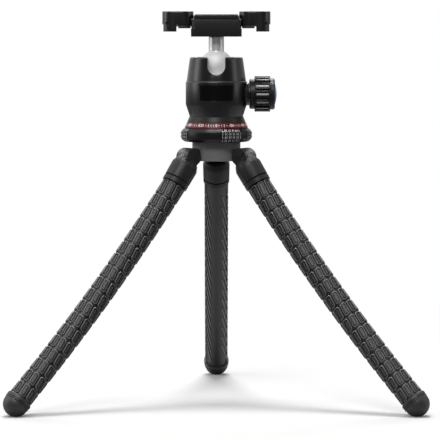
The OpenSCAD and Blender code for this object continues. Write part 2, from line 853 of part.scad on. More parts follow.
// The cover stands on the housing's ribs and walls with a narrow plinth
module clamp_cover() {
  color("#2f2f31") at_axis(clamp_top) difference() {
    union() {
      translate([-cover_half, 0, cover_line]) round_block(2 * cover_half, clamp_deep, cover_h, clamp_round);
      translate([-cover_half, 0, 0])
        round_block(2 * cover_half, clamp_deep - plinth_inset, cover_line + over, clamp_round);
    }
    translate([0, 0, -over]) cylinder(h = far, r = screw_r + run_fit * 2);
    translate([0, 0, screw_stop - clamp_top - far]) cylinder(h = far, r = flange_screw_r + slide_gap / 2);
    translate([0, 0, -clamp_h]) cover_screw_holes();
    for (x = [-cover_screw_x, cover_screw_x])
      translate([x, 0, cover_line + cover_h - cover_screw_head_h])
        cylinder(h = far, r = cover_screw_head_r + seat_fit);
  }
}

module platform_mat() {
  color("#1b1b1c") at_axis(mat_z) difference() {
    translate([mat_inset - cover_half, 0, 0])
      round_block(2 * (cover_half - mat_inset), clamp_deep - mat_inset, mat_h, clamp_round);
    translate([0, 0, -over]) cylinder(h = mat_h + 2 * over, r = screw_r + run_fit * 2);
  }
}

module cover_screws() {
  color("#8f9296") at_axis(mat_z) for (x = [-cover_screw_x, cover_screw_x])
    translate([x, 0, 0]) {
      translate([0, 0, -cover_screw_head_h]) cylinder(h = cover_screw_head_h, r = cover_screw_head_r);
      translate([0, 0, arm_z - mat_z]) cylinder(h = mat_z - arm_z, r = cover_screw_r);
    }
}

module camera_screw() {
  color("#b5b8bb") at_axis(arm_z) {
    cylinder(h = screw_flange_h, r = flange_screw_r);
    cylinder(h = mat_z + mat_h - screw_sunk - arm_z, r = screw_r);
  }
}

// The slide bar runs on the -Y side past the middle, and the end carries the jaw
module arm_shape() {
  end_l = jaw_pin_x - arm_x;
  translate([0, 0, arm_z]) difference() {
    union() {
      translate([-bar_past, -bar_out, 0]) cube([bar_past + arm_x, bar_w, arm_h]);
      translate([arm_x - cross_l, -bar_out, 0]) cube([cross_l, bar_out + arm_end_half, arm_h]);
      translate([arm_x - cross_l, -arm_end_half, 0]) cube([cross_l + end_l, 2 * arm_end_half, arm_h]);
      translate([jaw_pin_x, 0, arm_h / 2]) cross_pin(arm_end_r, 2 * arm_end_half);
    }
    translate([jaw_pin_x, 0, arm_h / 2]) cross_pin(jaw_pin_r + seat_fit, far);
  }
}

module jaw_shape() {
  translate([0, 0, clamp_z]) difference() {
    union() {
      translate([jaw_in, 0, jaw_low]) round_block(jaw_l, jaw_deep, jaw_top - jaw_low, jaw_round);
      intersection() {
        translate([jaw_in, 0, jaw_foot_low]) round_block(jaw_l, jaw_deep, jaw_low, jaw_round);
        translate([jaw_foot_in, -far, 0]) cube([jaw_foot_out - jaw_foot_in, 2 * far, jaw_low + over]);
      }
    }
    translate([0, -far, -far]) cube([jaw_step_in, 2 * far, far + jaw_step_up]);
    translate([0, -jaw_slot_half, -far]) cube([far, 2 * jaw_slot_half, far + jaw_top - jaw_wall]);
    translate([jaw_pin_x, 0, pin_z - clamp_z]) cross_pin(jaw_pin_r + run_fit, far);
  }
}

module jaw_pads_shape() {
  translate([0, 0, clamp_z]) difference() {
    intersection() {
      translate([jaw_in + pad_inset, 0, jaw_low - pad_h])
        round_block(jaw_l - 2 * pad_inset, jaw_deep - pad_inset, pad_h, jaw_round - pad_inset);
      translate([pad_in, -far, 0]) cube([pad_out - pad_in, 2 * far, far]);
    }
    translate([0, -jaw_slot_half, 0]) cube([far, 2 * jaw_slot_half, far]);
  }
}

module jaw_pin_shape() {
  translate([jaw_pin_x, 0, pin_z]) cross_pin(jaw_pin_r, 2 * (jaw_end_deep - jaw_pin_sunk));
}

module arm(turn) { color("#55585b") clamp_side(turn) arm_shape(); }
module jaw(turn) { color("#262628") clamp_side(turn) jaw_shape(); }
module jaw_pads(turn) { color("#161617") clamp_side(turn) jaw_pads_shape(); }
module jaw_pin(turn) { color("#7d8084") clamp_side(turn) jaw_pin_shape(); }

hub();
leg_hinge_pins();
centre_bolt();
pan_nut();
knurled_ring();
red_band();
pan_base();
head_body();
front_badge();
ball_cap();
seat_ring();
brake_shoe();
ball_stem();
knob();
knob_inlays();
knob_end_cap();
knob_shaft();
clamp_housing();
clamp_cover();
platform_mat();
cover_screws();
camera_screw();
arm(180);  // left_arm
arm(0);  // right_arm
jaw(180);  // left_jaw
jaw(0);  // right_jaw
jaw_pads(180);  // left_jaw_pads
jaw_pads(0);  // right_jaw_pads
jaw_pin(180);  // jaw_pin_left
jaw_pin(0);  // jaw_pin_right
collar(az_left);  // front_left_collar
collar(az_right);  // front_right_collar
collar(az_back);  // back_collar
core(az_left, 1);  // front_left_core_1
core(az_left, 2);  // front_left_core_2
core(az_left, 3);  // front_left_core_3
core(az_left, 4);  // front_left_core_4
core(az_right, 1);  // front_right_core_1
core(az_right, 2);  // front_right_core_2
core(az_right, 3);  // front_right_core_3
core(az_right, 4);  // front_right_core_4
core(az_back, 1);  // back_core_1
core(az_back, 2);  // back_core_2
core(az_back, 3);  // back_core_3
core(az_back, 4);  // back_core_4
sleeve(az_left, 1);  // front_left_sleeve_1
sleeve(az_left, 2);  // front_left_sleeve_2
sleeve(az_left, 3);  // front_left_sleeve_3
sleeve(az_left, 4);  // front_left_sleeve_4
sleeve(az_right, 1);  // front_right_sleeve_1
sleeve(az_right, 2);  // front_right_sleeve_2
sleeve(az_right, 3);  // front_right_sleeve_3
sleeve(az_right, 4);  // front_right_sleeve_4
sleeve(az_back, 1);  // back_sleeve_1
sleeve(az_back, 2);  // back_sleeve_2
sleeve(az_back, 3);  // back_sleeve_3
sleeve(az_back, 4);  // back_sleeve_4
foot(az_left);  // front_left_foot
foot(az_right);  // front_right_foot
foot(az_back);  // back_foot
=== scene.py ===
import json
import math

import bmesh
import bpy
from bpy.props import FloatProperty, FloatVectorProperty, IntProperty, PointerProperty
from mathutils import Matrix, Vector


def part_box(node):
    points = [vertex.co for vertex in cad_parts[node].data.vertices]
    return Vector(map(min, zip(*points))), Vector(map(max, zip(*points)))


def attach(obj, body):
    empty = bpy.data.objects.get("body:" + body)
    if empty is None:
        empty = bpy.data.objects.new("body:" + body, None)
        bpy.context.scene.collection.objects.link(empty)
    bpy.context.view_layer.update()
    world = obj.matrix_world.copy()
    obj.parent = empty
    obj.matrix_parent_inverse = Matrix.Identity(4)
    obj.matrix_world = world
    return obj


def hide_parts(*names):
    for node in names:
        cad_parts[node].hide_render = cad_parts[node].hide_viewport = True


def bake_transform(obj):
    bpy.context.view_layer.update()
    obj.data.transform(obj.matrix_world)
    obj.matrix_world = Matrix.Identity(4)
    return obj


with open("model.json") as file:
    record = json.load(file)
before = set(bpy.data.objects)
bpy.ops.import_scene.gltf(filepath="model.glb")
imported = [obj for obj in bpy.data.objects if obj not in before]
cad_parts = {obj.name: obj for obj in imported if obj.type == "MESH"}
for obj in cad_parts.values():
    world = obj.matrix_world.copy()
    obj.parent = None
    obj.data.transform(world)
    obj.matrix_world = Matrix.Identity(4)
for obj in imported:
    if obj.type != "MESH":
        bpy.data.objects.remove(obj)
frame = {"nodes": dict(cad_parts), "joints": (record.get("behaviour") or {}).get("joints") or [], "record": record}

bl_info = {
    "name": "Flexible leg tripod",
    "version": (1, 0, 0),
    "blender": (4, 5, 0),
    "location": "View3D > Sidebar > Tripod",
    "description": "Dresses the packed tripod: treaded legs, ball head, lock knob and phone clamp",
    "category": "Add Mesh",
}

MM = 0.001
UP = Vector((0, 0, 1))
LEGS = ("front_left", "front_right", "back")
LINKS = 4
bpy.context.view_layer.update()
JOINTS = {joint["name"]: joint for joint in frame["joints"]}
MOUNTS = {mount["name"]: mount for mount in frame["record"]["mounts"]}
SLOTS = {part["node"]: part["material_slot"] for part in frame["record"]["subparts"]}
BODIES = {
    node: body
    for body, nodes in frame["record"]["behaviour"]["bodies"].items()
    for node in nodes
}
HEAD_AXIS = Vector((0, JOINTS["head_pan"]["pos_m"][1], 0))


# Sizes and colours that a user would change


def length(name, text, default_mm):
    return FloatProperty(name=name, description=text, default=default_mm * MM, unit="LENGTH", precision=5)


def turn(name, text, degrees):
    return FloatProperty(name=name, description=text, default=math.radians(degrees), subtype="ANGLE")


def power(name, text, watts):
    return FloatProperty(name=name, description=text, default=watts, unit="POWER")


def colour(name, text, rgb):
    return FloatVectorProperty(name=name, description=text, default=rgb, subtype="COLOR", min=0, max=1)


class TreadSizes(bpy.types.PropertyGroup):
    """Sizes of the treaded rubber on the legs"""

    radius: length("Radius", "Outer radius of the tread", 9)
    pitch: length("Row pitch", "Length of one row of blocks", 10.77)
    columns: IntProperty(name="Columns", description="Blocks round a leg, beside the plain strip", default=8)
    strip: turn("Plain strip", "Turn that the plain strip on the inner side takes", 50)
    groove: length("Groove width", "Gap between two blocks", 1.1)
    depth: length("Groove depth", "Height of the blocks", 1.1)
    strip_drop: length("Strip drop", "Depth of the plain strip below the blocks", 0.5)
    slant: turn("Slant", "Lean of the blocks' long sides", 8)
    corner: length("Block corner", "Corner rounding of a block", 1.1)
    rib: length("Rib length", "Length of a slanted rib beside the back leg's strip", 19)
    rib_slant: turn("Rib slant", "Lean of those ribs", 14)


class FootSizes(bpy.types.PropertyGroup):
    """Sizes of the rubber feet"""

    band_radius: length("Band radius", "Radius of the band at the rim", 9.75)
    band: length("Band height", "Height of the band", 3.9)
    dome: length("Dome radius", "Radius of the dome", 9.4)
    flat: length("Worn flat", "Depth of the flat that the foot stands on", 0.5)
    line: length("Ring line", "Depth of the ring lines", 0.45)


class RingSizes(bpy.types.PropertyGroup):
    """Sizes of the knurled ring"""

    bay: length("Bay depth", "Depth of the smooth bays below the knurling", 0.5)
    chamfer: length("Chamfer", "Chamfer of the ring", 2.6)
    patch: turn("Patch", "Turn that one knurled patch takes", 34)
    columns: IntProperty(name="Columns", description="Points across a patch", default=5)
    rows: IntProperty(name="Rows", description="Points from edge to edge of the ring", default=4)
    row_pitch: length("Row pitch", "Spacing of the rows of points", 2.42)
    height: length("Knurl height", "Height of the knurl's points", 0.85)


class KnobSizes(bpy.types.PropertyGroup):
    """Sizes of the lock knob"""

    lobes: IntProperty(name="Lobes", description="Lobes round the knob", default=12)
    base: length("Base length", "Length of the base", 3.9)
    base_radius: length("Base radius", "Radius of the base", 11.1)
    floor_radius: length("Groove floor", "Radius between the lobes", 11.6)
    end_radius: length("End radius", "Radius of the end section", 11.5)
    end: length("End length", "Length of the end section", 3.4)
    gap: length("Lobe gap", "Gap between two lobes", 1.5)
    bar_width: length("Bar width", "Width of an inlay bar", 1.5)
    bar_length: length("Bar length", "Length of an inlay bar", 9.6)


class ScaleSizes(bpy.types.PropertyGroup):
    """Sizes of the plain degree scale on the red band"""

    step: turn("Tick step", "Turn between two ticks", 5)
    tick: length("Tick length", "Length of a short tick", 1.1)
    width: length("Tick width", "Width of a tick", 0.32)
    digit: length("Digit height", "Height of the digits", 2.0)


class FinishColours(bpy.types.PropertyGroup):
    """Colours of the finishes"""

    black: colour("Black anodised", "Head, ring and clamp", (0.006, 0.006, 0.0064))
    collar: colour("Collar black", "Collars of the legs", (0.013, 0.013, 0.013))
    hub: colour("Hub grey", "Hub", (0.14, 0.14, 0.144))
    pan: colour("Pan grey", "Cone above the red band", (0.016, 0.0185, 0.0172))
    red: colour("Red anodised", "Red band", (0.085, 0.002, 0.005))
    steel: colour("Steel", "Pins, screws and arms", (0.52, 0.52, 0.53))
    ball: colour("Ball metal", "Ball and stem", (0.72, 0.72, 0.73))
    nylon: colour("Nylon", "Seat ring", (0.75, 0.74, 0.70))
    brass: colour("Brass", "Brake shoe", (0.60, 0.44, 0.18))
    plastic: colour("Black plastic", "Lock knob", (0.0055, 0.0055, 0.0058))
    badge: colour("Badge", "Bare badge on the head", (0.002, 0.002, 0.002))
    white: colour("White", "Degree scale", (0.82, 0.82, 0.82))
    bars: colour("Bars", "Inlay bars of the knob", (0.42, 0.42, 0.43))
    blue: colour("Blue anodised", "End of the knob", (0.07, 0.26, 0.62))
    rubber: colour("Rubber", "Legs, mat and pads", (0.023, 0.023, 0.0235))
    foot: colour("Foot rubber", "Feet", (0.011, 0.011, 0.0114))
    core: colour("Core metal", "Links inside the legs", (0.60, 0.60, 0.62))


class StageSizes(bpy.types.PropertyGroup):
    """Camera, light and floor"""

    distance: length("Distance", "Camera to the head axis", 2150)
    eye: length("Eye height", "Camera above the floor", 283)
    aim_up: length("Aim height", "Height of the point that the camera looks at", 135)
    aim_right: length("Aim offset", "That point to the right of the head axis", 2.7)
    focal: FloatProperty(name="Focal length", description="Lens in mm on a 36 mm sensor", default=238.2)
    floor: colour("Floor", "Colour of the floor", (0.355, 0.355, 0.355))
    dark: FloatProperty(name="Dark part", description="Light from between the softboxes", default=0.06)
    front: FloatProperty(name="Front patch", description="Light from beside the camera", default=0.25)
    bright: FloatProperty(name="Bright sides", description="Light from the sides", default=0.9)
    key: power("Left lamp", "Power of the left softbox", 10)
    fill: power("Right lamp", "Power of the right softbox", 4)
    back: power("Back lamp", "Power of the back softbox", 16)
    high: power("Front lamp", "Power of the high front softbox", 34)
    top: power("Top lamp", "Power of the softbox overhead", 47)


class TripodSettings(bpy.types.PropertyGroup):
    """Everything that the operators read"""

    tread: PointerProperty(type=TreadSizes)
    foot: PointerProperty(type=FootSizes)
    ring: PointerProperty(type=RingSizes)
    knob: PointerProperty(type=KnobSizes)
    scale: PointerProperty(type=ScaleSizes)
    finish: PointerProperty(type=FinishColours)
    stage: PointerProperty(type=StageSizes)


def settings():
    return bpy.context.scene.tripod


# Shader maths


class Value:
    """A shader socket that arithmetic joins to others through Math nodes"""

    def __init__(self, finish, socket):
        self.finish = finish
        self.socket = socket

    def _math(self, operation, first, second):
        return self.finish.add("ShaderNodeMath", {"operation": operation}, {0: first, 1: second})

    def __add__(self, other):
        return self._math("ADD", self, other)

    __radd__ = __add__

    def __sub__(self, other):
        return self._math("SUBTRACT", self, other)

    def __rsub__(self, other):
        return self._math("SUBTRACT", other, self)

    def __mul__(self, other):
        return self._math("MULTIPLY", self, other)

    __rmul__ = __mul__

    def __gt__(self, other):
        return self._math("GREATER_THAN", self, other)

    def highest(self, other):
        return self._math("MAXIMUM", self, other)


class Finish:
    """The nodes of a material or world; add() makes any node and gives one of its outputs"""

    def __init__(self, name, world=False):
        made = bpy.data.worlds if world else bpy.data.materials
        self.owner = made.new(name)
        self.owner.use_nodes = True
        self.tree = self.owner.node_tree
        self.tree.nodes.clear()
        self.end = "ShaderNodeOutputWorld" if world else "ShaderNodeOutputMaterial"
        self.place = None

    def add(self, kind, setup=None, inputs=None, output=0):
        node = self.tree.nodes.new(kind)
        for key, value in (setup or {}).items():
            setattr(node, key, value)
        for key, value in (inputs or {}).items():
            self.feed(node.inputs[key], value)
        return Value(self, node.outputs[output])

    def feed(self, socket, value):
        if isinstance(value, Value):
            self.tree.links.new(value.socket, socket)
        else:
            socket.default_value = value

    def coordinates(self):
        if self.place is None:
            self.place = self.add("ShaderNodeTexCoord", output="Object")
        return self.place

    def noise(self, scale, detail=2, stretch=None):
        place = self.coordinates()
        if stretch:
            place = self.add("ShaderNodeMapping", None, {"Vector": place, "Scale": stretch})
        return self.add("ShaderNodeTexNoise", None, {"Vector": place, "Scale": scale, "Detail": detail})

    def mix(self, factor, first, second):
        return self.add("ShaderNodeMix", {"data_type": "RGBA"}, {0: factor, 6: first, 7: second}, output=2)

    def fade(self, value, start, end, first, last):
        """Runs straight from one level to another between two values"""
        return self.add("ShaderNodeMapRange", None, {"Value": value, 1: start, 2: end, 3: first, 4: last})

    def bump(self, height, strength, distance):
        inputs = {"Strength": strength, "Distance": distance, "Height": height}
        return self.add("ShaderNodeBump", None, inputs)

    def surface(self, **sockets):
        """Ends the material in a Principled shader; names use _ for a space"""
        inputs = {key.replace("_", " "): value for key, value in sockets.items()}
        shader = self.add("ShaderNodeBsdfPrincipled", None, inputs)
        self.finish_with(shader)
        return self.owner

    def finish_with(self, shader):
        node = self.tree.nodes.new(self.end)
        self.feed(node.inputs["Surface"], shader)


def tone(rgb, factor=1.0):
    return tuple(min(1.0, c * factor) for c in rgb) + (1.0,)


# Finishes, one for each material slot of the record


# Pale grey of the painted highlight on the knurl's points
GLINT_GREY = (0.34, 0.34, 0.35, 1)
STEM_FROM = 10.9 * MM


def satin_metal(name, rgb, roughness, gloss, metallic=0.0):
    """Anodised metal with a fine blasted grain, faint handling marks and a painted highlight in pale grey on faces
    marked above 0
    """
    f = Finish(name)
    cloud = f.noise(70, 3)
    grain = f.noise(3800, 2)
    # Faces marked above 0, the knurl's points, get a painted highlight, broken up by the cloud noise
    glint = f.add("ShaderNodeAttribute", {"attribute_name": "ridge"}, output="Fac")
    body = f.mix(cloud, tone(rgb, 0.82), tone(rgb, 1.2))
    shade = f.mix(glint * (0.6 + cloud * 0.4), body, GLINT_GREY)
    rough = roughness - 0.07 + cloud * 0.1 + grain * 0.05
    normal = f.bump(grain, 0.10, 0.00006)
    return f.surface(
        Base_Color=shade,
        Roughness=rough,
        Metallic=metallic,
        Specular_IOR_Level=gloss,
        Normal=normal,
    )


def moulded_plastic(name, rgb, roughness, gloss=0.5):
    """Moulded plastic with a fine spark-eroded texture"""
    f = Finish(name)
    cloud = f.noise(60, 2)
    skin = f.noise(2600, 3)
    shade = f.mix(cloud, tone(rgb, 0.88), tone(rgb, 1.15))
    rough = roughness - 0.06 + cloud * 0.08 + skin * 0.06
    normal = f.bump(skin, 0.12, 0.00007)
    return f.surface(Base_Color=shade, Roughness=rough, Specular_IOR_Level=gloss, Normal=normal)


def moulded_rubber(name, rgb):
    """Rubber with a painted highlight on faces marked above 0, painted shade on faces marked below 0, and a soft
    sheen
    """
    f = Finish(name)
    dust = f.noise(140, 4)
    skin = f.noise(3200, 3)
    ridge = f.add("ShaderNodeAttribute", {"attribute_name": "ridge"}, output="Fac")
    # Painted highlight: faces marked above 0 mix towards a far paler grey, more where the dust noise is high;
    # painted shade: faces marked below 0 go nearly black
    highlit = ridge.highest(0) * (0.45 + dust)
    in_shade = (ridge * -1).highest(0)
    body = f.mix(dust, tone(rgb, 0.8), tone(rgb, 1.3))
    paler = f.mix(highlit, body, tone(rgb, 4.0))
    shade = f.mix(in_shade, paler, tone(rgb, 0.06))
    rough = 0.40 + dust * 0.12 + skin * 0.08
    normal = f.bump(skin, 0.16, 0.00008)
    return f.surface(Base_Color=shade, Roughness=rough, Normal=normal)


def brushed_metal(name, rgb, roughness):
    """Turned or brushed metal with fine lines round its length"""
    f = Finish(name)
    lines = f.noise(900, 2, (1, 1, 14))
    cloud = f.noise(80, 2)
    shade = f.mix(cloud, tone(rgb, 0.9), tone(rgb, 1.08))
    rough = roughness + lines * 0.14
    normal = f.bump(lines, 0.08, 0.00005)
    return f.surface(Base_Color=shade, Roughness=rough, Metallic=1.0, Normal=normal)


def ball_and_stem(name, rgb):
    """Bead-blasted ball below a polished, turned stem"""
    f = Finish(name)
    height = f.add("ShaderNodeSeparateXYZ", None, {"Vector": f.coordinates()}, output="Z")
    stem = height > JOINTS["ball_tilt"]["pos_m"][2] + STEM_FROM
    beads = f.noise(2400, 3)
    rings = f.noise(700, 1, (0.05, 0.05, 1))
    cloud = f.noise(120, 3)
    shade = f.mix(cloud, tone(rgb, 0.9), tone(rgb, 1.06))
    blasted = 0.54 + beads * 0.14
    polished = 0.30 + rings * 0.10
    rough = blasted * (1 - stem) + polished * stem
    metallic = 0.2 + stem * 0.45
    grain = beads * (1 - stem) + rings * 0.4 * stem
    normal = f.bump(grain, 0.14, 0.00006)
    return f.surface(Base_Color=shade, Roughness=rough, Metallic=metallic, Normal=normal)


MAKERS = {
    "black_anodised": (satin_metal, "black", 0.28, 0.45),
    "ring_black": (satin_metal, "black", 0.34, 0.22),
    "collar_black": (satin_metal, "collar", 0.42, 0.22),
    "hub_grey": (satin_metal, "hub", 0.45, 0.12),
    "pan_grey": (satin_metal, "pan", 0.36, 0.14),
    "red_anodised": (satin_metal, "red", 0.40, 0.25),
    "steel": (brushed_metal, "steel", 0.26),
    "ball_metal": (ball_and_stem, "ball"),
    "nylon": (moulded_plastic, "nylon", 0.5),
    "brass": (brushed_metal, "brass", 0.28),
    "black_plastic": (moulded_plastic, "plastic", 0.40, 0.28),
    "badge_gloss": (moulded_plastic, "badge", 0.26, 0.12),
    "white_inlay": (moulded_plastic, "white", 0.35),
    "bar_white": (moulded_plastic, "bars", 0.35),
    "blue_anodised": (satin_metal, "blue", 0.30, 0.5, 0.3),
    "rubber": (moulded_rubber, "rubber"),
    "foot_rubber": (moulded_rubber, "foot"),
    "core_metal": (brushed_metal, "core", 0.3),
}
FINISHES = {}


def finish_of(slot):
    """The material of a slot, made the first time that it is asked for"""
    if slot not in FINISHES:
        maker, shade, *numbers = MAKERS[slot]
        FINISHES[slot] = maker(slot, getattr(settings().finish, shade), *numbers)
    return FINISHES[slot]


# Mesh helpers


def lathe(profile, steps=96):
    """A closed turned shape about Z; the profile is (radius, height) points from axis to axis"""
    bm = bmesh.new()
    points = [bm.verts.new((r, 0, z)) for r, z in profile]
    edges = [bm.edges.new(pair) for pair in zip(points, points[1:])]
    if profile[0][0] > 0:
        edges.append(bm.edges.new((points[-1], points[0])))
    bmesh.ops.spin(bm, geom=points + edges, axis=UP, angle=math.tau, steps=steps, use_merge=True)
    bmesh.ops.remove_doubles(bm, verts=bm.verts, dist=1e-7)
    bmesh.ops.recalc_face_normals(bm, faces=bm.faces)
    return bm


def as_mesh(name, bm):
    """Turns a bmesh into mesh data and frees it"""
    mesh = bpy.data.meshes.new(name)
    bm.to_mesh(mesh)
    bm.free()
    return mesh


def slab(width, long, low, high):
    """A plain block about the Z axis, from one height to another"""
    bm = bmesh.new()
    bmesh.ops.create_cube(bm, size=1)
    bmesh.ops.scale(bm, vec=(width, long, high - low), verts=bm.verts)
    bmesh.ops.translate(bm, vec=(0, 0, (high + low) / 2), verts=bm.verts)
    return bm


def arc(centre, radius, start, end, steps):
    """Points of an arc in a profile, angles in degrees from the radius direction"""
    angles = [math.radians(start + (end - start) * i / steps) for i in range(steps + 1)]
    return [(centre[0] + radius * math.cos(a), centre[1] + radius * math.sin(a)) for a in angles]


SHARP = 28
SMOOTH = 20
FLAT = 0.02 * MM
WIDE_SEGMENTS = 4
SAME_POINT = 0.002 * MM
SAME_PLANE = math.radians(0.5)


def sharp_edges(bm, degrees):
    limit = math.radians(degrees)
    return [e for e in bm.edges if e.is_manifold and e.calc_face_angle(0) > limit]


def round_edges(bm, edges, width, segments=2):
    return bmesh.ops.bevel(
        bm,
        geom=edges,
        offset=width,
        offset_type="OFFSET",
        segments=segments,
        profile=0.5,
        affect="EDGES",
        clamp_overlap=True,
        material=-1,
    )


def dressed(node, width, segments=2, wide=None, wide_width=0.0):
    """A merged copy of a node's mesh with its sharp edges rounded, those on a chosen face more so"""
    bm = bmesh.new()
    bm.from_mesh(frame["nodes"][node].data)
    bmesh.ops.remove_doubles(bm, verts=bm.verts, dist=SAME_POINT)
    bmesh.ops.dissolve_limit(bm, angle_limit=SAME_PLANE, verts=bm.verts, edges=bm.edges)
    fresh = set()
    if wide:
        chosen = [e for e in sharp_edges(bm, SHARP) if all(wide(vert.co) for vert in e.verts)]
        fresh = set(round_edges(bm, chosen, wide_width, WIDE_SEGMENTS)["edges"])
    round_edges(bm, [e for e in sharp_edges(bm, SHARP) if e not in fresh], width, segments)
    return bm


def pad(width, long, low, high, corner, steps, corner_segments=1):
    """A flat block with round corners whose top steps in, as (inset, rise, mark) say; the mark asks for a painted
    highlight above 0 and painted shade below 0
    """
    bm = slab(width, long, low, high)
    upright = [e for e in bm.edges if abs(e.verts[0].co.z - e.verts[1].co.z) > (high - low) / 2]
    round_edges(bm, upright, corner, corner_segments)
    ridge = bm.faces.layers.float.new("ridge")
    top = max(bm.faces, key=lambda face: face.calc_center_median().z)
    for inset, rise, shade in steps:
        made = bmesh.ops.inset_region(bm, faces=[top], thickness=inset, depth=rise, use_even_offset=True)
        for face in made["faces"]:
            face[ridge] = shade
    return as_mesh("pad", bm)


def mark(bm, shade_of):
    """Marks each face for a painted highlight, above 0, or painted shade, below 0"""
    ridge = bm.faces.layers.float.new("ridge")
    for face in bm.faces:
        face[ridge] = shade_of(face)


def stamp(bm, mesh, move):
    """Adds a copy of a small mesh, with each of its points moved by a function"""
    home = [vert.co.copy() for vert in mesh.vertices]
    for vert, co in zip(mesh.vertices, home):
        vert.co = move(co)
    bm.from_mesh(mesh)
    for vert, co in zip(mesh.vertices, home):
        vert.co = co


def wrap(bm, move):
    for vert in bm.verts:
        vert.co = move(vert.co)


def piece(name, bm, node, finish=None, ride=True, replaces=True):
    """Turns a bmesh into a piece of the object that takes a node's place, body and finish"""
    mesh = as_mesh(name, bm)
    mesh.polygons.foreach_set("use_smooth", [True] * len(mesh.polygons))
    mesh.set_sharp_from_angle(angle=math.radians(SMOOTH))
    made = bpy.data.objects.new(name, mesh)
    bpy.context.scene.collection.objects.link(made)
    mesh.materials.append(finish_of(finish or SLOTS[node]))
    if ride:
        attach(made, BODIES[node])
    if replaces:
        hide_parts(node)
    return made


def radius_of(node):
    low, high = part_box(node)
    return (high.x - low.x) / 2


def around_head(bm, height=0.0):
    bmesh.ops.translate(bm, vec=HEAD_AXIS + UP * height, verts=bm.verts)


# Legs


class LegLine:
    """The bowed centre line of a leg at rest, measured from its first bend"""

    def __init__(self, leg):
        bends = [Vector(JOINTS[f"{leg}_bend_{k}"]["pos_m"]) for k in range(1, LINKS + 1)]
        hinge = Vector(JOINTS[f"{leg}_fold"]["pos_m"])
        self.out = (bends[0] - hinge).xy.normalized().to_3d()
        self.side = Vector(JOINTS[f"{leg}_fold"]["axis"])
        self.link = (bends[1] - bends[0]).length
        first = self._tilt(bends[1] - bends[0])
        step = self._tilt(bends[2] - bends[1]) - first
        self.start = bends[0]
        self.tilt = first - step / 2
        self.bow = step / self.link
        self.last = bends[-1]

    def _tilt(self, chord):
        return math.atan2(chord.dot(self.out), -chord.z)

    def at(self, s):
        """The centre and the outward direction at a length along the leg"""
        tilt = self.tilt + self.bow * s
        along = (math.cos(self.tilt) - math.cos(tilt)) / self.bow
        down = (math.sin(tilt) - math.sin(self.tilt)) / self.bow
        centre = self.start + self.out * along - UP * down
        return centre, self.out * math.cos(tilt) + UP * math.sin(tilt)

    def point(self, radius, angle, s):
        centre, outward = self.at(s)
        return centre + (outward * math.cos(angle) + self.side * math.sin(angle)) * radius


RIM = 0.5 * MM
# Steps of a tread block's top as (inset, rise, mark): painted highlight on the rim's slope, the flat ring and the
# island's wall, painted shade in the groove round the island
BLOCK_STEPS = (
    (0.45 * MM, RIM, 1),
    (0.35 * MM, 0, 0.6),
    (0.12 * MM, -0.6 * MM, -1),
    (0.75 * MM, 0, -1),
    (0.12 * MM, 0.55 * MM, 0.5),
)


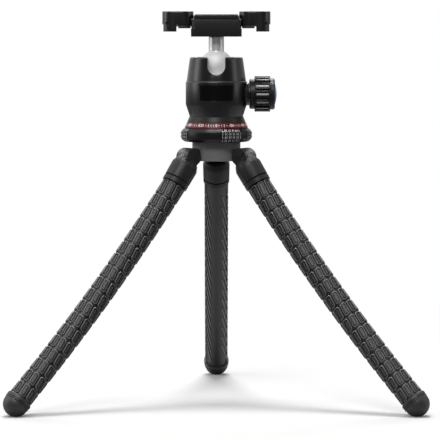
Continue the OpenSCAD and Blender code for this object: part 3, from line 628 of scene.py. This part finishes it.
class TreadPiece:
    """One stretch of treaded rubber, from one row of blocks to another"""

    CUTS = (0, 2, 7, 11, 16, 18)
    TUCK = 2.4 * MM
    BEND_HALF = 14 * MM
    SINK = 0.5 * MM
    RIB_WIDTH = 0.9 * MM
    RIB_HEIGHT = 0.4 * MM
    # Mark for painted shade on the plain strip and on the ribs' sides
    SHADED = -0.9
    SIDES = 48
    MOUTH = 0.84
    STRIP_CUTS = 5
    RIBBED_CUTS = 13
    RIB_CUTS = 7
    RIB_TOP = 0.9

    def __init__(self, leg, line, number):
        self.sizes = settings().tread
        self.step = (math.tau - self.sizes.strip) / self.sizes.columns
        self.ribbed = 1 if leg == "back" else 0
        self.leg = leg
        self.line = line
        self.number = number
        self.first = self.CUTS[number - 1]
        self.last = self.CUTS[number]
        self.sense = -1 if leg == "front_right" else 1

    def row_start(self, row):
        return -self.TUCK if row == 0 else row * self.sizes.pitch

    def lay(self, bm, mesh, turned, along, lean=0.0):
        """Lays a flat mesh, long side along Y, on the rubber's round"""
        t = self.sizes

        def onto_leg(co):
            angle = turned + (co.x + lean * co.y) / t.radius
            return self.line.point(t.radius - t.depth + co.z, angle, along + co.y)

        stamp(bm, mesh, onto_leg)

    def tube(self):
        """The round rubber under the blocks, closed at both ends"""
        t = self.sizes
        radius = t.radius - t.depth
        start = self.row_start(self.first)
        end = self.row_start(self.last)
        count = 2 * (self.last - self.first)
        sides = [(radius, start + (end - start) * i / count) for i in range(count + 1)]
        if self.first == 0:
            sides.insert(0, (radius * self.MOUTH, start - self.TUCK))
        profile = [(0, sides[0][1])] + sides + [(0, end)]
        bm = lathe(profile, self.SIDES)
        wrap(bm, lambda co: self.line.point(co.xy.length, math.atan2(co.y, co.x), co.z))
        # Painted shade over the whole tube, seen in the grooves between the blocks
        mark(bm, lambda face: -1)
        return bm

    def blocks(self, bm):
        t = self.sizes
        width = self.step * t.radius - t.groove
        lean = self.sense * math.tan(t.slant)
        for row in range(self.first, self.last):
            start = self.row_start(row)
            end = self.row_start(row + 1)
            long = end - start - t.groove
            block = pad(width, long, -self.SINK, t.depth - RIM, t.corner, BLOCK_STEPS)
            for column in range(self.ribbed, t.columns - self.ribbed):
                turned = math.pi + t.strip / 2 + (column + 0.5) * self.step
                self.lay(bm, block, turned, (start + end) / 2, lean)
            bpy.data.meshes.remove(block)

    def plain_strip(self, bm):
        """The plain strip that runs down the inner side"""
        t = self.sizes
        start = self.row_start(self.first)
        end = self.row_start(self.last)
        width = (t.strip + 2 * self.ribbed * self.step) * t.radius - t.groove
        high = t.depth - t.strip_drop
        strip = slab(width, end - start, -self.SINK, high)
        upper = [e for e in strip.edges if all(vert.co.z > 0 for vert in e.verts)]
        brow = [e for e in upper if abs(e.verts[0].co.x - e.verts[1].co.x) < MM]
        round_edges(strip, brow, high / 2, 2)
        across = [e for e in strip.edges if abs(e.verts[0].co.x - e.verts[1].co.x) > width / 2]
        cuts = self.RIBBED_CUTS if self.ribbed else self.STRIP_CUTS
        bmesh.ops.subdivide_edges(strip, edges=across, cuts=cuts)
        along = [e for e in strip.edges if abs(e.verts[0].co.y - e.verts[1].co.y) > MM]
        bmesh.ops.subdivide_edges(strip, edges=along, cuts=2 * (self.last - self.first) - 1)
        # Painted shade over the plain strip
        mark(strip, lambda face: self.SHADED)
        mesh = as_mesh("strip", strip)
        self.lay(bm, mesh, math.pi, (start + end) / 2)
        bpy.data.meshes.remove(mesh)

    def ribs(self, bm):
        """Long slanted ribs on both sides of the plain strip"""
        t = self.sizes
        high = t.depth - t.strip_drop + self.RIB_HEIGHT
        rib = slab(self.RIB_WIDTH, t.rib, 0, high)
        along = [e for e in rib.edges if abs(e.verts[0].co.y - e.verts[1].co.y) > t.rib / 2]
        bmesh.ops.subdivide_edges(rib, edges=along, cuts=self.RIB_CUTS)
        top = high * self.RIB_TOP
        # Painted highlight on the ribs' tops, painted shade on their sides
        mark(rib, lambda face: 1 if face.calc_center_median().z > top else self.SHADED)
        mesh = as_mesh("rib", rib)
        lean = self.sense * math.tan(t.rib_slant)
        for row in range(max(self.first, 1), min(self.last, self.CUTS[-1] - 1)):
            for side in (-1, 1):
                turned = math.pi + side * (t.strip + self.step) / 2
                self.lay(bm, mesh, turned, (row + 0.5) * t.pitch, lean)
        bpy.data.meshes.remove(mesh)

    def make(self):
        bm = self.tube()
        self.blocks(bm)
        self.plain_strip(bm)
        if self.ribbed:
            self.ribs(bm)
        link = min(self.number, LINKS)
        node = f"{self.leg}_sleeve_{link}"
        name = f"{self.leg}_tread_{self.number}"
        if self.number > LINKS:
            piece(name, bm, node)
            return
        made = piece(name, bm, node, ride=False)
        joint = (link - 1) * self.line.link
        start = joint - (self.TUCK if link == 1 else self.BEND_HALF)
        self.line.at(start)[0]
        self.line.at(joint + self.BEND_HALF)[0]
        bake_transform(made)


class TRIPOD_OT_treads(bpy.types.Operator):
    """Wraps the three legs in treaded rubber"""

    bl_idname = "tripod.treads"
    bl_label = "Leg treads"

    def execute(self, context):
        for leg in LEGS:
            line = LegLine(leg)
            for number in range(1, len(TreadPiece.CUTS)):
                TreadPiece(leg, line, number).make()
        return {"FINISHED"}


class TRIPOD_OT_collars(bpy.types.Operator):
    """Rounds the edges of the hinged collars"""

    bl_idname = "tripod.collars"
    bl_label = "Leg collars"

    EDGE = 0.3 * MM
    CHEEK_OUT = 8.0 * MM
    CHEEK_ROUND = 1.6 * MM

    def execute(self, context):
        for leg in LEGS:
            node = f"{leg}_collar"
            hinge = Vector(JOINTS[f"{leg}_fold"]["pos_m"])
            side = Vector(JOINTS[f"{leg}_fold"]["axis"])

            def on_cheek(co):
                return abs(abs((co - hinge).dot(side)) - self.CHEEK_OUT) < FLAT

            bm = dressed(node, self.EDGE, 2, on_cheek, self.CHEEK_ROUND)
            piece(f"{node}_shell", bm, node, finish="collar_black")
        return {"FINISHED"}


class TRIPOD_OT_feet(bpy.types.Operator):
    """Turns the rubber feet and cuts them flat where they stand"""

    bl_idname = "tripod.feet"
    bl_label = "Feet"

    SOFT = 0.5 * MM
    SHADED_LINES = ((-2.9, -0.7), (0.1, 1.7))
    HIGHLIT_EDGE = (-0.7, 0.1)

    def execute(self, context):
        for leg in LEGS:
            self.foot(leg, settings().foot)
        return {"FINISHED"}

    def foot(self, leg, sizes):
        line = LegLine(leg)
        centre = Vector(MOUNTS[f"{leg}_foot_rest"]["pos_m"]) + UP * (sizes.dome - sizes.flat)
        down = (centre - line.last).normalized()
        rise = (centre - line.last).length - line.link
        bm = lathe(self.profile(sizes, rise), 72)
        low = sizes.band - rise
        # Painted shade in the ring lines, a painted highlight on the edge between them
        mark(bm, lambda face: self.shade((face.calc_center_median().z - low) / sizes.line))
        turned = UP.rotation_difference(down).to_matrix().to_4x4()
        bmesh.ops.transform(bm, matrix=Matrix.Translation(centre) @ turned, verts=bm.verts)
        cut = bmesh.ops.bisect_plane(
            bm,
            geom=bm.verts[:] + bm.edges[:] + bm.faces[:],
            plane_co=(0, 0, 0),
            plane_no=(0, 0, -1),
            clear_outer=True,
        )
        rim = [e for e in cut["geom_cut"] if isinstance(e, bmesh.types.BMEdge)]
        bmesh.ops.contextual_create(bm, geom=rim)
        bmesh.ops.recalc_face_normals(bm, faces=bm.faces)
        node = f"{leg}_foot"
        piece(f"{node}_rubber", bm, node, finish="foot_rubber")

    def shade(self, place):
        """Painted shade in the two ring lines, a painted highlight on the edge between them; place is in line
        depths
        """
        if any(start < place < end for start, end in self.SHADED_LINES):
            return -1
        return 0.5 if self.HIGHLIT_EDGE[0] < place < self.HIGHLIT_EDGE[1] else 0

    def profile(self, sizes, rise):
        """Band, two ring lines and dome, measured from the dome's centre"""
        band = sizes.band_radius
        low = sizes.band - rise
        groove = sizes.line
        shoulder = math.degrees(math.asin((low + 1.6 * groove) / sizes.dome))
        return [
            (0, -rise),
            (band - self.SOFT, -rise),
            (band, self.SOFT - rise),
            (band, low - 3 * groove),
            (band - groove, low - 2.4 * groove),
            (band - groove, low - 1.2 * groove),
            (band, low - 0.6 * groove),
            (band, low),
            (band - groove, low + groove),
            *arc((0, 0), sizes.dome, shoulder, 90, 16)[:-1],
            (0, sizes.dome),
        ]


# Hub and rings


class TRIPOD_OT_hub(bpy.types.Operator):
    """Rounds the edges of the hub and of the cone on it"""

    bl_idname = "tripod.hub"
    bl_label = "Hub and pan base"

    PARTS = (("hub_block", "hub", 0.35), ("pan_cone", "pan_base", 0.3))

    def execute(self, context):
        for name, node, width in self.PARTS:
            piece(name, dressed(node, width * MM), node)
        return {"FINISHED"}


class TRIPOD_OT_ring(bpy.types.Operator):
    """Turns the ring and raises its knurled patches"""

    bl_idname = "tripod.ring"
    bl_label = "Knurled ring"

    BORE = 14.05 * MM
    BACKING = 1.2 * MM
    EDGE = 0.35 * MM
    SLOPE = 0.22
    POINT_RIM = 0.08
    POINT_CORNER = 0.1
    PATCH_STARTS = (9, 61, 116, 168, 219, 271)

    def execute(self, context):
        sizes = settings().ring
        low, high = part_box("knurled_ring")
        self.sizes = sizes
        self.middle = (low.z + high.z) / 2
        self.half = (high.z - low.z) / 2
        self.radius = radius_of("knurled_ring")
        bm = self.body()
        for start in self.PATCH_STARTS:
            self.patch(bm, math.radians(start))
        piece("knurled_ring_grip", bm, "knurled_ring", finish="ring_black")
        return {"FINISHED"}

    def reach(self, z):
        """Radius of the ring over the knurling, at a height from its middle"""
        past = max(0.0, abs(z) - (self.half - self.sizes.chamfer))
        return self.radius - past

    def body(self):
        bore = self.BORE
        side = self.radius - self.sizes.bay
        edge = self.half - self.sizes.chamfer
        slope = side - self.sizes.chamfer
        profile = [
            (bore, -self.half),
            (slope, -self.half),
            (side, -edge),
            (side, edge),
            (slope, self.half),
            (bore, self.half),
        ]
        bm = lathe(profile, 144)
        round_edges(bm, sharp_edges(bm, SHARP), self.EDGE)
        around_head(bm, self.middle)
        bm.faces.layers.float.new("ridge")
        return bm

    def patch(self, bm, start):
        """A field of blunt points that follow the ring's chamfers"""
        sizes = self.sizes
        step = sizes.patch / sizes.columns
        width = step * self.radius
        # The narrow ring round each point's flat end is marked for a painted highlight
        steps = ((width * self.SLOPE, sizes.height, 0), (width * self.POINT_RIM, 0, 1))
        point = pad(width, sizes.row_pitch, -self.BACKING, 0, width * self.POINT_CORNER, steps)
        self.mark_top(point)
        for column in range(sizes.columns):
            for row in range(sizes.rows):
                middle = (row - (sizes.rows - 1) / 2) * sizes.row_pitch
                turned = start + (column + 0.5) * step

                def onto_ring(co, middle=middle, turned=turned):
                    angle = turned + co.x / self.radius
                    z = middle + co.y
                    r = self.reach(z) - sizes.height + co.z
                    return HEAD_AXIS + Vector((r * math.sin(angle), -r * math.cos(angle), self.middle + z))

                stamp(bm, point, onto_ring)
        bpy.data.meshes.remove(point)

    def mark_top(self, mesh):
        """Marks the faces on a point's flat end for a painted highlight"""
        top = max(vert.co.z for vert in mesh.vertices)
        for face in mesh.polygons:
            if face.center.z > top - FLAT:
                mesh.attributes["ridge"].data[face.index].value = 1


class TRIPOD_OT_red_band(bpy.types.Operator):
    """Rounds the edges of the red band and prints a plain degree scale on it"""

    bl_idname = "tripod.red_band"
    bl_label = "Red band and scale"

    SKIN = 0.06 * MM
    EDGE = 0.25 * MM
    NUMBERED = 30
    TALL_EVERY = 15
    TALLER = 1.7
    LETTER_SIZE = 1.4

    def execute(self, context):
        self.low, self.high = (corner.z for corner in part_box("red_band"))
        self.foot_radius = radius_of("red_band")
        self.top_radius = radius_of("pan_base")
        piece("red_band_ring", dressed("red_band", self.EDGE), "red_band")
        self.scale(settings().scale)
        return {"FINISHED"}

    def onto_cone(self, co, angle):
        """A flat mark, drawn upright about its middle, laid on the cone"""
        z = (self.low + self.high) / 2 + co.y
        share = (z - self.low) / (self.high - self.low)
        r = self.foot_radius + share * (self.top_radius - self.foot_radius) + co.z
        turned = angle + co.x / r
        return HEAD_AXIS + Vector((r * math.sin(turned), -r * math.cos(turned), z))

    def scale(self, sizes):
        bm = bmesh.new()
        ticks = round(math.tau / sizes.step)
        for number in range(ticks):
            angle = number * sizes.step
            degrees = round(math.degrees(angle))
            if degrees % self.NUMBERED == 0:
                self.digits(bm, str(degrees), angle, sizes.digit)
            else:
                tall = sizes.tick * (self.TALLER if degrees % self.TALL_EVERY == 0 else 1)
                tick = pad(sizes.width, tall, -self.SKIN, self.SKIN, sizes.width / 4, ())
                stamp(bm, tick, lambda co, a=angle: self.onto_cone(co, a))
                bpy.data.meshes.remove(tick)
        made = piece("degree_scale", bm, "knob_inlays", ride=False, replaces=False)
        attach(made, BODIES["red_band"])

    def digits(self, bm, text, angle, tall):
        letters = bpy.data.curves.new("digits", "FONT")
        letters.body = text
        letters.size = tall * self.LETTER_SIZE
        letters.align_x = "CENTER"
        letters.align_y = "CENTER"
        letters.extrude = self.SKIN
        drawn = bpy.data.objects.new("digits", letters)
        bpy.context.scene.collection.objects.link(drawn)
        bpy.context.view_layer.update()
        mesh = bpy.data.meshes.new_from_object(drawn)
        stamp(bm, mesh, lambda co: self.onto_cone(co, angle))
        bpy.data.objects.remove(drawn)
        bpy.data.curves.remove(letters)
        bpy.data.meshes.remove(mesh)


# Ball head


class TRIPOD_OT_head(bpy.types.Operator):
    """Rounds the edges of the head body, its bare badge and the slotted cap"""

    bl_idname = "tripod.head"
    bl_label = "Head body and cap"

    PARTS = (
        ("head_body", 0.3, None),
        ("front_badge", 0.12, "badge_gloss"),
        ("ball_cap", 0.4, None),
    )

    def execute(self, context):
        for node, width, finish in self.PARTS:
            piece(f"{node}_shell", dressed(node, width * MM), node, finish=finish)
        return {"FINISHED"}


class TRIPOD_OT_ball(bpy.types.Operator):
    """Turns the ball and its stem in one piece"""

    bl_idname = "tripod.ball"
    bl_label = "Ball and stem"

    STEM = 5.65 * MM
    SPIGOT = 4 * MM
    FILLET = 0.8 * MM
    SOFT = 0.3 * MM
    PLAY = 0.1 * MM

    def execute(self, context):
        radius = radius_of("ball_stem")
        centre = JOINTS["ball_tilt"]["pos_m"][2]
        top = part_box("ball_stem")[1].z - centre
        shoulder = JOINTS["platform_turn"]["pos_m"][2] - centre - self.PLAY
        meet = math.degrees(math.acos((self.STEM + self.FILLET) / radius))
        soft = self.SOFT
        neck = radius * math.sin(math.radians(meet)) + self.FILLET
        profile = [
            (0, -radius),
            *arc((0, 0), radius, -90, meet, 56)[1:],
            (self.STEM + 0.25 * self.FILLET, neck - 0.55 * self.FILLET),
            (self.STEM, neck),
            (self.STEM, shoulder - soft),
            (self.STEM - soft, shoulder),
            (self.SPIGOT, shoulder),
            (self.SPIGOT, top - soft),
            (self.SPIGOT - soft, top),
            (0, top),
        ]
        bm = lathe(profile)
        around_head(bm, centre)
        piece("ball_and_stem", bm, "ball_stem")
        return {"FINISHED"}


# Lock knob


class TRIPOD_OT_knob(bpy.types.Operator):
    """Builds the lobed knob, its inlay bars and its blue end"""

    bl_idname = "tripod.knob"
    bl_label = "Lock knob"

    LOBE_RIM = 0.2 * MM
    LOBE_CORNER = 1.7 * MM
    LOBE_STEPS = (
        (0.25 * MM, LOBE_RIM, 0),
        (0.9 * MM, 0, 0),
        (0.25 * MM, -1.1 * MM, 0),
    )
    SHAFT_BORE = 4.03 * MM
    BORE_DEPTH = 9 * MM
    CAP_SEAT = 8.03 * MM
    SEAT_DEPTH = 1.2 * MM
    BASE_SOFT = 0.8 * MM
    END_SOFT = 1.0 * MM
    RAMP = 0.3 * MM
    SINK = 0.5 * MM
    BAR_SUNK = 0.85 * MM
    BAR_DEPTH = 0.3 * MM
    BAR_CORNER = 0.5 * MM
    BAR_STEPS = ((0.12 * MM, 0.08 * MM, 0),)
    CAP_EDGE = 0.2 * MM
    CAP_SHARP = 40

    def execute(self, context):
        self.sizes = settings().knob
        low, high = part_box("knob")
        self.start = Vector((low.x, HEAD_AXIS.y, JOINTS["knob_turn"]["pos_m"][2]))
        self.long = high.x - low.x
        self.radius = (high.z - low.z) / 2
        self.barrel()
        self.bars()
        self.end_cap()
        return {"FINISHED"}

    def along_x(self, bm):
        turned = Matrix.Rotation(math.pi / 2, 4, "Y")
        bmesh.ops.transform(bm, matrix=Matrix.Translation(self.start) @ turned, verts=bm.verts)

    def onto_knob(self, co, angle, along, floor):
        """A flat pad, long side along Y, laid on the knob's round"""
        r = floor + co.z
        turned = angle + co.x / self.radius
        return Vector((r * math.cos(turned), r * math.sin(turned), along + co.y))

    def barrel(self):
        s = self.sizes
        shaft = self.SHAFT_BORE
        seat = self.CAP_SEAT
        end = self.long - s.end
        profile = [
            (0, self.BORE_DEPTH),
            (shaft, self.BORE_DEPTH),
            (shaft, 0),
            (s.base_radius - self.BASE_SOFT, 0),
            (s.base_radius, self.BASE_SOFT),
            (s.base_radius, s.base),
            (s.floor_radius, s.base + self.RAMP),
            (s.floor_radius, end - self.RAMP),
            (s.end_radius, end),
            (s.end_radius, self.long - self.END_SOFT),
            (s.end_radius - self.END_SOFT, self.long),
            (seat, self.long),
            (seat, self.long - self.SEAT_DEPTH),
            (0, self.long - self.SEAT_DEPTH),
        ]
        bm = lathe(profile)
        lobe_long = end - s.base
        step = math.tau / s.lobes
        top = self.radius - s.floor_radius
        width = step * self.radius - s.gap
        high = top - self.LOBE_RIM
        lobe = pad(width, lobe_long, -self.SINK, high, self.LOBE_CORNER, self.LOBE_STEPS, 4)
        for number in range(s.lobes):
            stamp(
                bm,
                lobe,
                lambda co, a=number * step: self.onto_knob(co, a, s.base + lobe_long / 2, s.floor_radius),
            )
        bpy.data.meshes.remove(lobe)
        self.along_x(bm)
        piece("knob_grip", bm, "knob")

    def bars(self):
        s = self.sizes
        bm = bmesh.new()
        middle = (s.base + self.long - s.end) / 2
        bar = pad(s.bar_width, s.bar_length, -self.BAR_DEPTH, 0, self.BAR_CORNER, self.BAR_STEPS, 2)
        for number in range(s.lobes):
            angle = number * math.tau / s.lobes
            stamp(bm, bar, lambda co, a=angle: self.onto_knob(co, a, middle, self.radius - self.BAR_SUNK))
        bpy.data.meshes.remove(bar)
        self.along_x(bm)
        piece("knob_bars", bm, "knob_inlays", finish="bar_white")

    def end_cap(self):
        low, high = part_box("knob_end_cap")
        radius = (high.z - low.z) / 2
        seat = self.long - (low.x - self.start.x)
        dome = high.x - low.x - seat
        sphere = (radius ** 2 + dome ** 2) / (2 * dome)
        centre = self.long + dome - sphere
        rim = math.degrees(math.asin((self.long - centre) / sphere))
        profile = [
            (0, low.x - self.start.x),
            (radius, low.x - self.start.x),
            *arc((0, centre), sphere, rim, 90, 14)[:-1],
            (0, self.long + dome),
        ]
        bm = lathe(profile, 72)
        round_edges(bm, sharp_edges(bm, self.CAP_SHARP), self.CAP_EDGE)
        self.along_x(bm)
        piece("knob_blue_end", bm, "knob_end_cap")


# Phone clamp


class TRIPOD_OT_clamp(bpy.types.Operator):
    """Rounds the edges of the clamp block, its cover, mat, arms, jaws and pads"""

    bl_idname = "tripod.clamp"
    bl_label = "Phone clamp"

    EDGES = (
        ("clamp_housing", 0.15, 0, 1.3),
        ("clamp_cover", 0.15, 1, 0.4),
        ("platform_mat", 0.1, 1, 0.25),
        ("left_arm", 0.3, 1, 0.3),
        ("right_arm", 0.3, 1, 0.3),
        ("left_jaw", 0.15, 1, 0.9),
        ("right_jaw", 0.15, 1, 0.9),
        ("left_jaw_pads", 0.2, 0, 0.4),
        ("right_jaw_pads", 0.2, 0, 0.4),
    )
    END_ROUND = 3.2 * MM
    CLOSER = 0.45 * MM
    STEP_HIGH = 13 * MM
    STEP_NEAR = 0.25 * MM
    LOWER = 0.22 * MM
    FLANGE_HIGH = 6.1 * MM

    def execute(self, context):
        for node, width, end, wide_width in self.EDGES:
            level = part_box(node)[end].z
            bm = dressed(node, width * MM, 2, lambda co: abs(co.z - level) < FLAT, wide_width * MM)
            if node == "clamp_housing":
                self.meet_jaws(bm)
            elif node.endswith("_jaw"):
                self.meet_block(bm)
            piece(f"{node}_shell", bm, node)
        return {"FINISHED"}

    def meet_jaws(self, bm):
        """Brings the ends of the block, above its flange, close to the folded jaws"""
        low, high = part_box("clamp_housing")
        flange_top = low.z + self.FLANGE_HIGH
        end = high.x - self.END_ROUND
        for vert in bm.verts:
            if abs(vert.co.x) > end and vert.co.z > flange_top:
                vert.co.x += math.copysign(self.CLOSER, vert.co.x)

    def meet_block(self, bm):
        """Brings the step under a jaw close to the top of the block"""
        low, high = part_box("clamp_housing")
        step = low.z + self.STEP_HIGH
        for vert in bm.verts:
            if abs(vert.co.x) < high.x + self.STEP_NEAR and abs(vert.co.z - step) < self.STEP_NEAR:
                vert.co.z -= self.LOWER


class TRIPOD_OT_inner(bpy.types.Operator):
    """Gives the pieces that keep their construction shape their finishes"""

    bl_idname = "tripod.inner"
    bl_label = "Inner pieces"

    def execute(self, context):
        for node, made in frame["nodes"].items():
            if made.hide_render:
                continue
            made.data.materials.clear()
            made.data.materials.append(finish_of(SLOTS[node]))
        return {"FINISHED"}


# Stage


WHITE = (1, 1, 1, 1)


class TRIPOD_OT_stage(bpy.types.Operator):
    """Sets a pale floor, five softboxes and the camera"""

    bl_idname = "tripod.stage"
    bl_label = "Stage"

    FLOOR_HALF = 12.0
    FADE_FROM = 0.22
    FADE_TO = 0.75
    CARD_FROM = -0.25
    CARD_TO = -0.1
    CARD_SHADE = 0.25
    FLOOR_GLOW = 0.07
    FAR_GLOW = 0.2
    LAMPS_AIM = 0.15
    LAMPS = (
        ("left_softbox", "key", (-1.7, -0.1, 0.9), (0.7, 1.6)),
        ("right_softbox", "fill", (1.7, -0.3, 0.8), (0.5, 1.5)),
        ("back_softbox", "back", (0.0, 1.2, 1.3), (1.0, 0.6)),
        ("front_softbox", "high", (-0.3, -1.5, 1.7), (1.0, 0.6)),
        ("top_softbox", "top", (0.0, 0.1, 1.9), (0.7, 0.4)),
    )

    def execute(self, context):
        self.sizes = settings().stage
        context.scene.view_settings.view_transform = "Standard"
        self.floor()
        self.world(context.scene)
        for name, setting, place, size in self.LAMPS:
            self.lamp(name, place, size, getattr(self.sizes, setting))
        self.camera(context.scene)
        return {"FINISHED"}

    def seen_directly(self, finish):
        """1 for rays from the camera"""
        return finish.add("ShaderNodeLightPath", output="Is Camera Ray")

    def floor(self):
        f = Finish("studio_floor")
        seen = self.seen_directly(f)
        place = f.coordinates()
        away = f.add("ShaderNodeVectorMath", {"operation": "LENGTH"}, {0: place}, output="Value")
        far = f.fade(away, self.FADE_FROM, self.FADE_TO, 0.0, 1.0)
        depth = f.add("ShaderNodeSeparateXYZ", None, {"Vector": place}, output="Y")
        card = f.fade(depth, self.CARD_FROM, self.CARD_TO, 1.0, 0.0)
        floor = self.sizes.floor
        shade = f.mix(card * (1 - seen), tone(floor), tone(floor, self.CARD_SHADE))
        lit = f.add("ShaderNodeBsdfDiffuse", None, {"Color": shade})
        glow = f.add("ShaderNodeEmission", None, {"Color": WHITE, "Strength": seen * self.FLOOR_GLOW})
        near = f.add("ShaderNodeAddShader", None, {0: lit, 1: glow})
        distant = self.FAR_GLOW + seen * (1 - self.FAR_GLOW)
        white = f.add("ShaderNodeEmission", None, {"Color": WHITE, "Strength": distant})
        f.finish_with(f.add("ShaderNodeMixShader", None, {0: far, 1: near, 2: white}))
        bm = bmesh.new()
        bmesh.ops.create_grid(bm, x_segments=4, y_segments=4, size=self.FLOOR_HALF)
        mesh = as_mesh("studio_floor", bm)
        mesh.materials.append(f.owner)
        made = bpy.data.objects.new("studio_floor", mesh)
        bpy.context.scene.collection.objects.link(made)

    def world(self, scene):
        """White to the eye; to the object, dark behind the camera and bright at the sides"""
        f = Finish("studio_world", world=True)
        seen = self.seen_directly(f)
        towards = f.add("ShaderNodeTexCoord", output="Generated")
        across = f.add("ShaderNodeSeparateXYZ", None, {"Vector": towards}, output="X")
        ahead = f.add("ShaderNodeSeparateXYZ", None, {"Vector": towards}, output="Y")
        front = f.fade(ahead, -0.99, -0.84, 1.0, 0.0)
        side = f.fade(ahead, -0.5, -0.15, 0.0, 1.0)
        left = f.fade(across, -0.3, 0.3, 1.0, 0.55)
        level = self.sizes.dark + front * self.sizes.front + side * left * self.sizes.bright
        strength = seen + (1 - seen) * level
        sky = f.add("ShaderNodeBackground", None, {"Color": WHITE, "Strength": strength})
        f.finish_with(sky)
        scene.world = f.owner

    def lamp(self, name, place, size, watts):
        data = bpy.data.lights.new(name, "AREA")
        data.shape = "RECTANGLE"
        data.size, data.size_y = size
        data.energy = watts
        made = bpy.data.objects.new(name, data)
        made.location = Vector(place)
        aim = HEAD_AXIS + UP * self.LAMPS_AIM - made.location
        made.rotation_euler = aim.to_track_quat("-Z", "Y").to_euler()
        bpy.context.scene.collection.objects.link(made)

    def camera(self, scene):
        s = self.sizes
        data = bpy.data.cameras.new("camera")
        data.sensor_width = 36
        data.lens = s.focal
        made = bpy.data.objects.new("camera", data)
        made.location = HEAD_AXIS + Vector((0, -s.distance, s.eye))
        aim = HEAD_AXIS + Vector((s.aim_right, 0, s.aim_up)) - made.location
        made.rotation_euler = aim.to_track_quat("-Z", "Y").to_euler()
        scene.collection.objects.link(made)
        scene.camera = made


OPERATORS = (
    TRIPOD_OT_treads,
    TRIPOD_OT_collars,
    TRIPOD_OT_feet,
    TRIPOD_OT_hub,
    TRIPOD_OT_ring,
    TRIPOD_OT_red_band,
    TRIPOD_OT_head,
    TRIPOD_OT_ball,
    TRIPOD_OT_knob,
    TRIPOD_OT_clamp,
    TRIPOD_OT_inner,
    TRIPOD_OT_stage,
)


class TRIPOD_PT_panel(bpy.types.Panel):
    """Lists the tripod's pieces in the sidebar"""

    bl_idname = "TRIPOD_PT_panel"
    bl_label = "Flexible leg tripod"
    bl_space_type = "VIEW_3D"
    bl_region_type = "UI"
    bl_category = "Tripod"

    def draw(self, context):
        for operator in OPERATORS:
            self.layout.operator(operator.bl_idname)


GROUPS = (
    TreadSizes,
    FootSizes,
    RingSizes,
    KnobSizes,
    ScaleSizes,
    FinishColours,
    StageSizes,
    TripodSettings,
)


def register():
    for made in GROUPS + OPERATORS + (TRIPOD_PT_panel,):
        bpy.utils.register_class(made)
    bpy.types.Scene.tripod = PointerProperty(type=TripodSettings)


def unregister():
    del bpy.types.Scene.tripod
    for made in reversed(GROUPS + OPERATORS + (TRIPOD_PT_panel,)):
        bpy.utils.unregister_class(made)


def main():
    register()
    for operator in OPERATORS:
        group, name = operator.bl_idname.split(".")
        getattr(getattr(bpy.ops, group), name)()


if __name__ == "__main__":
    main()
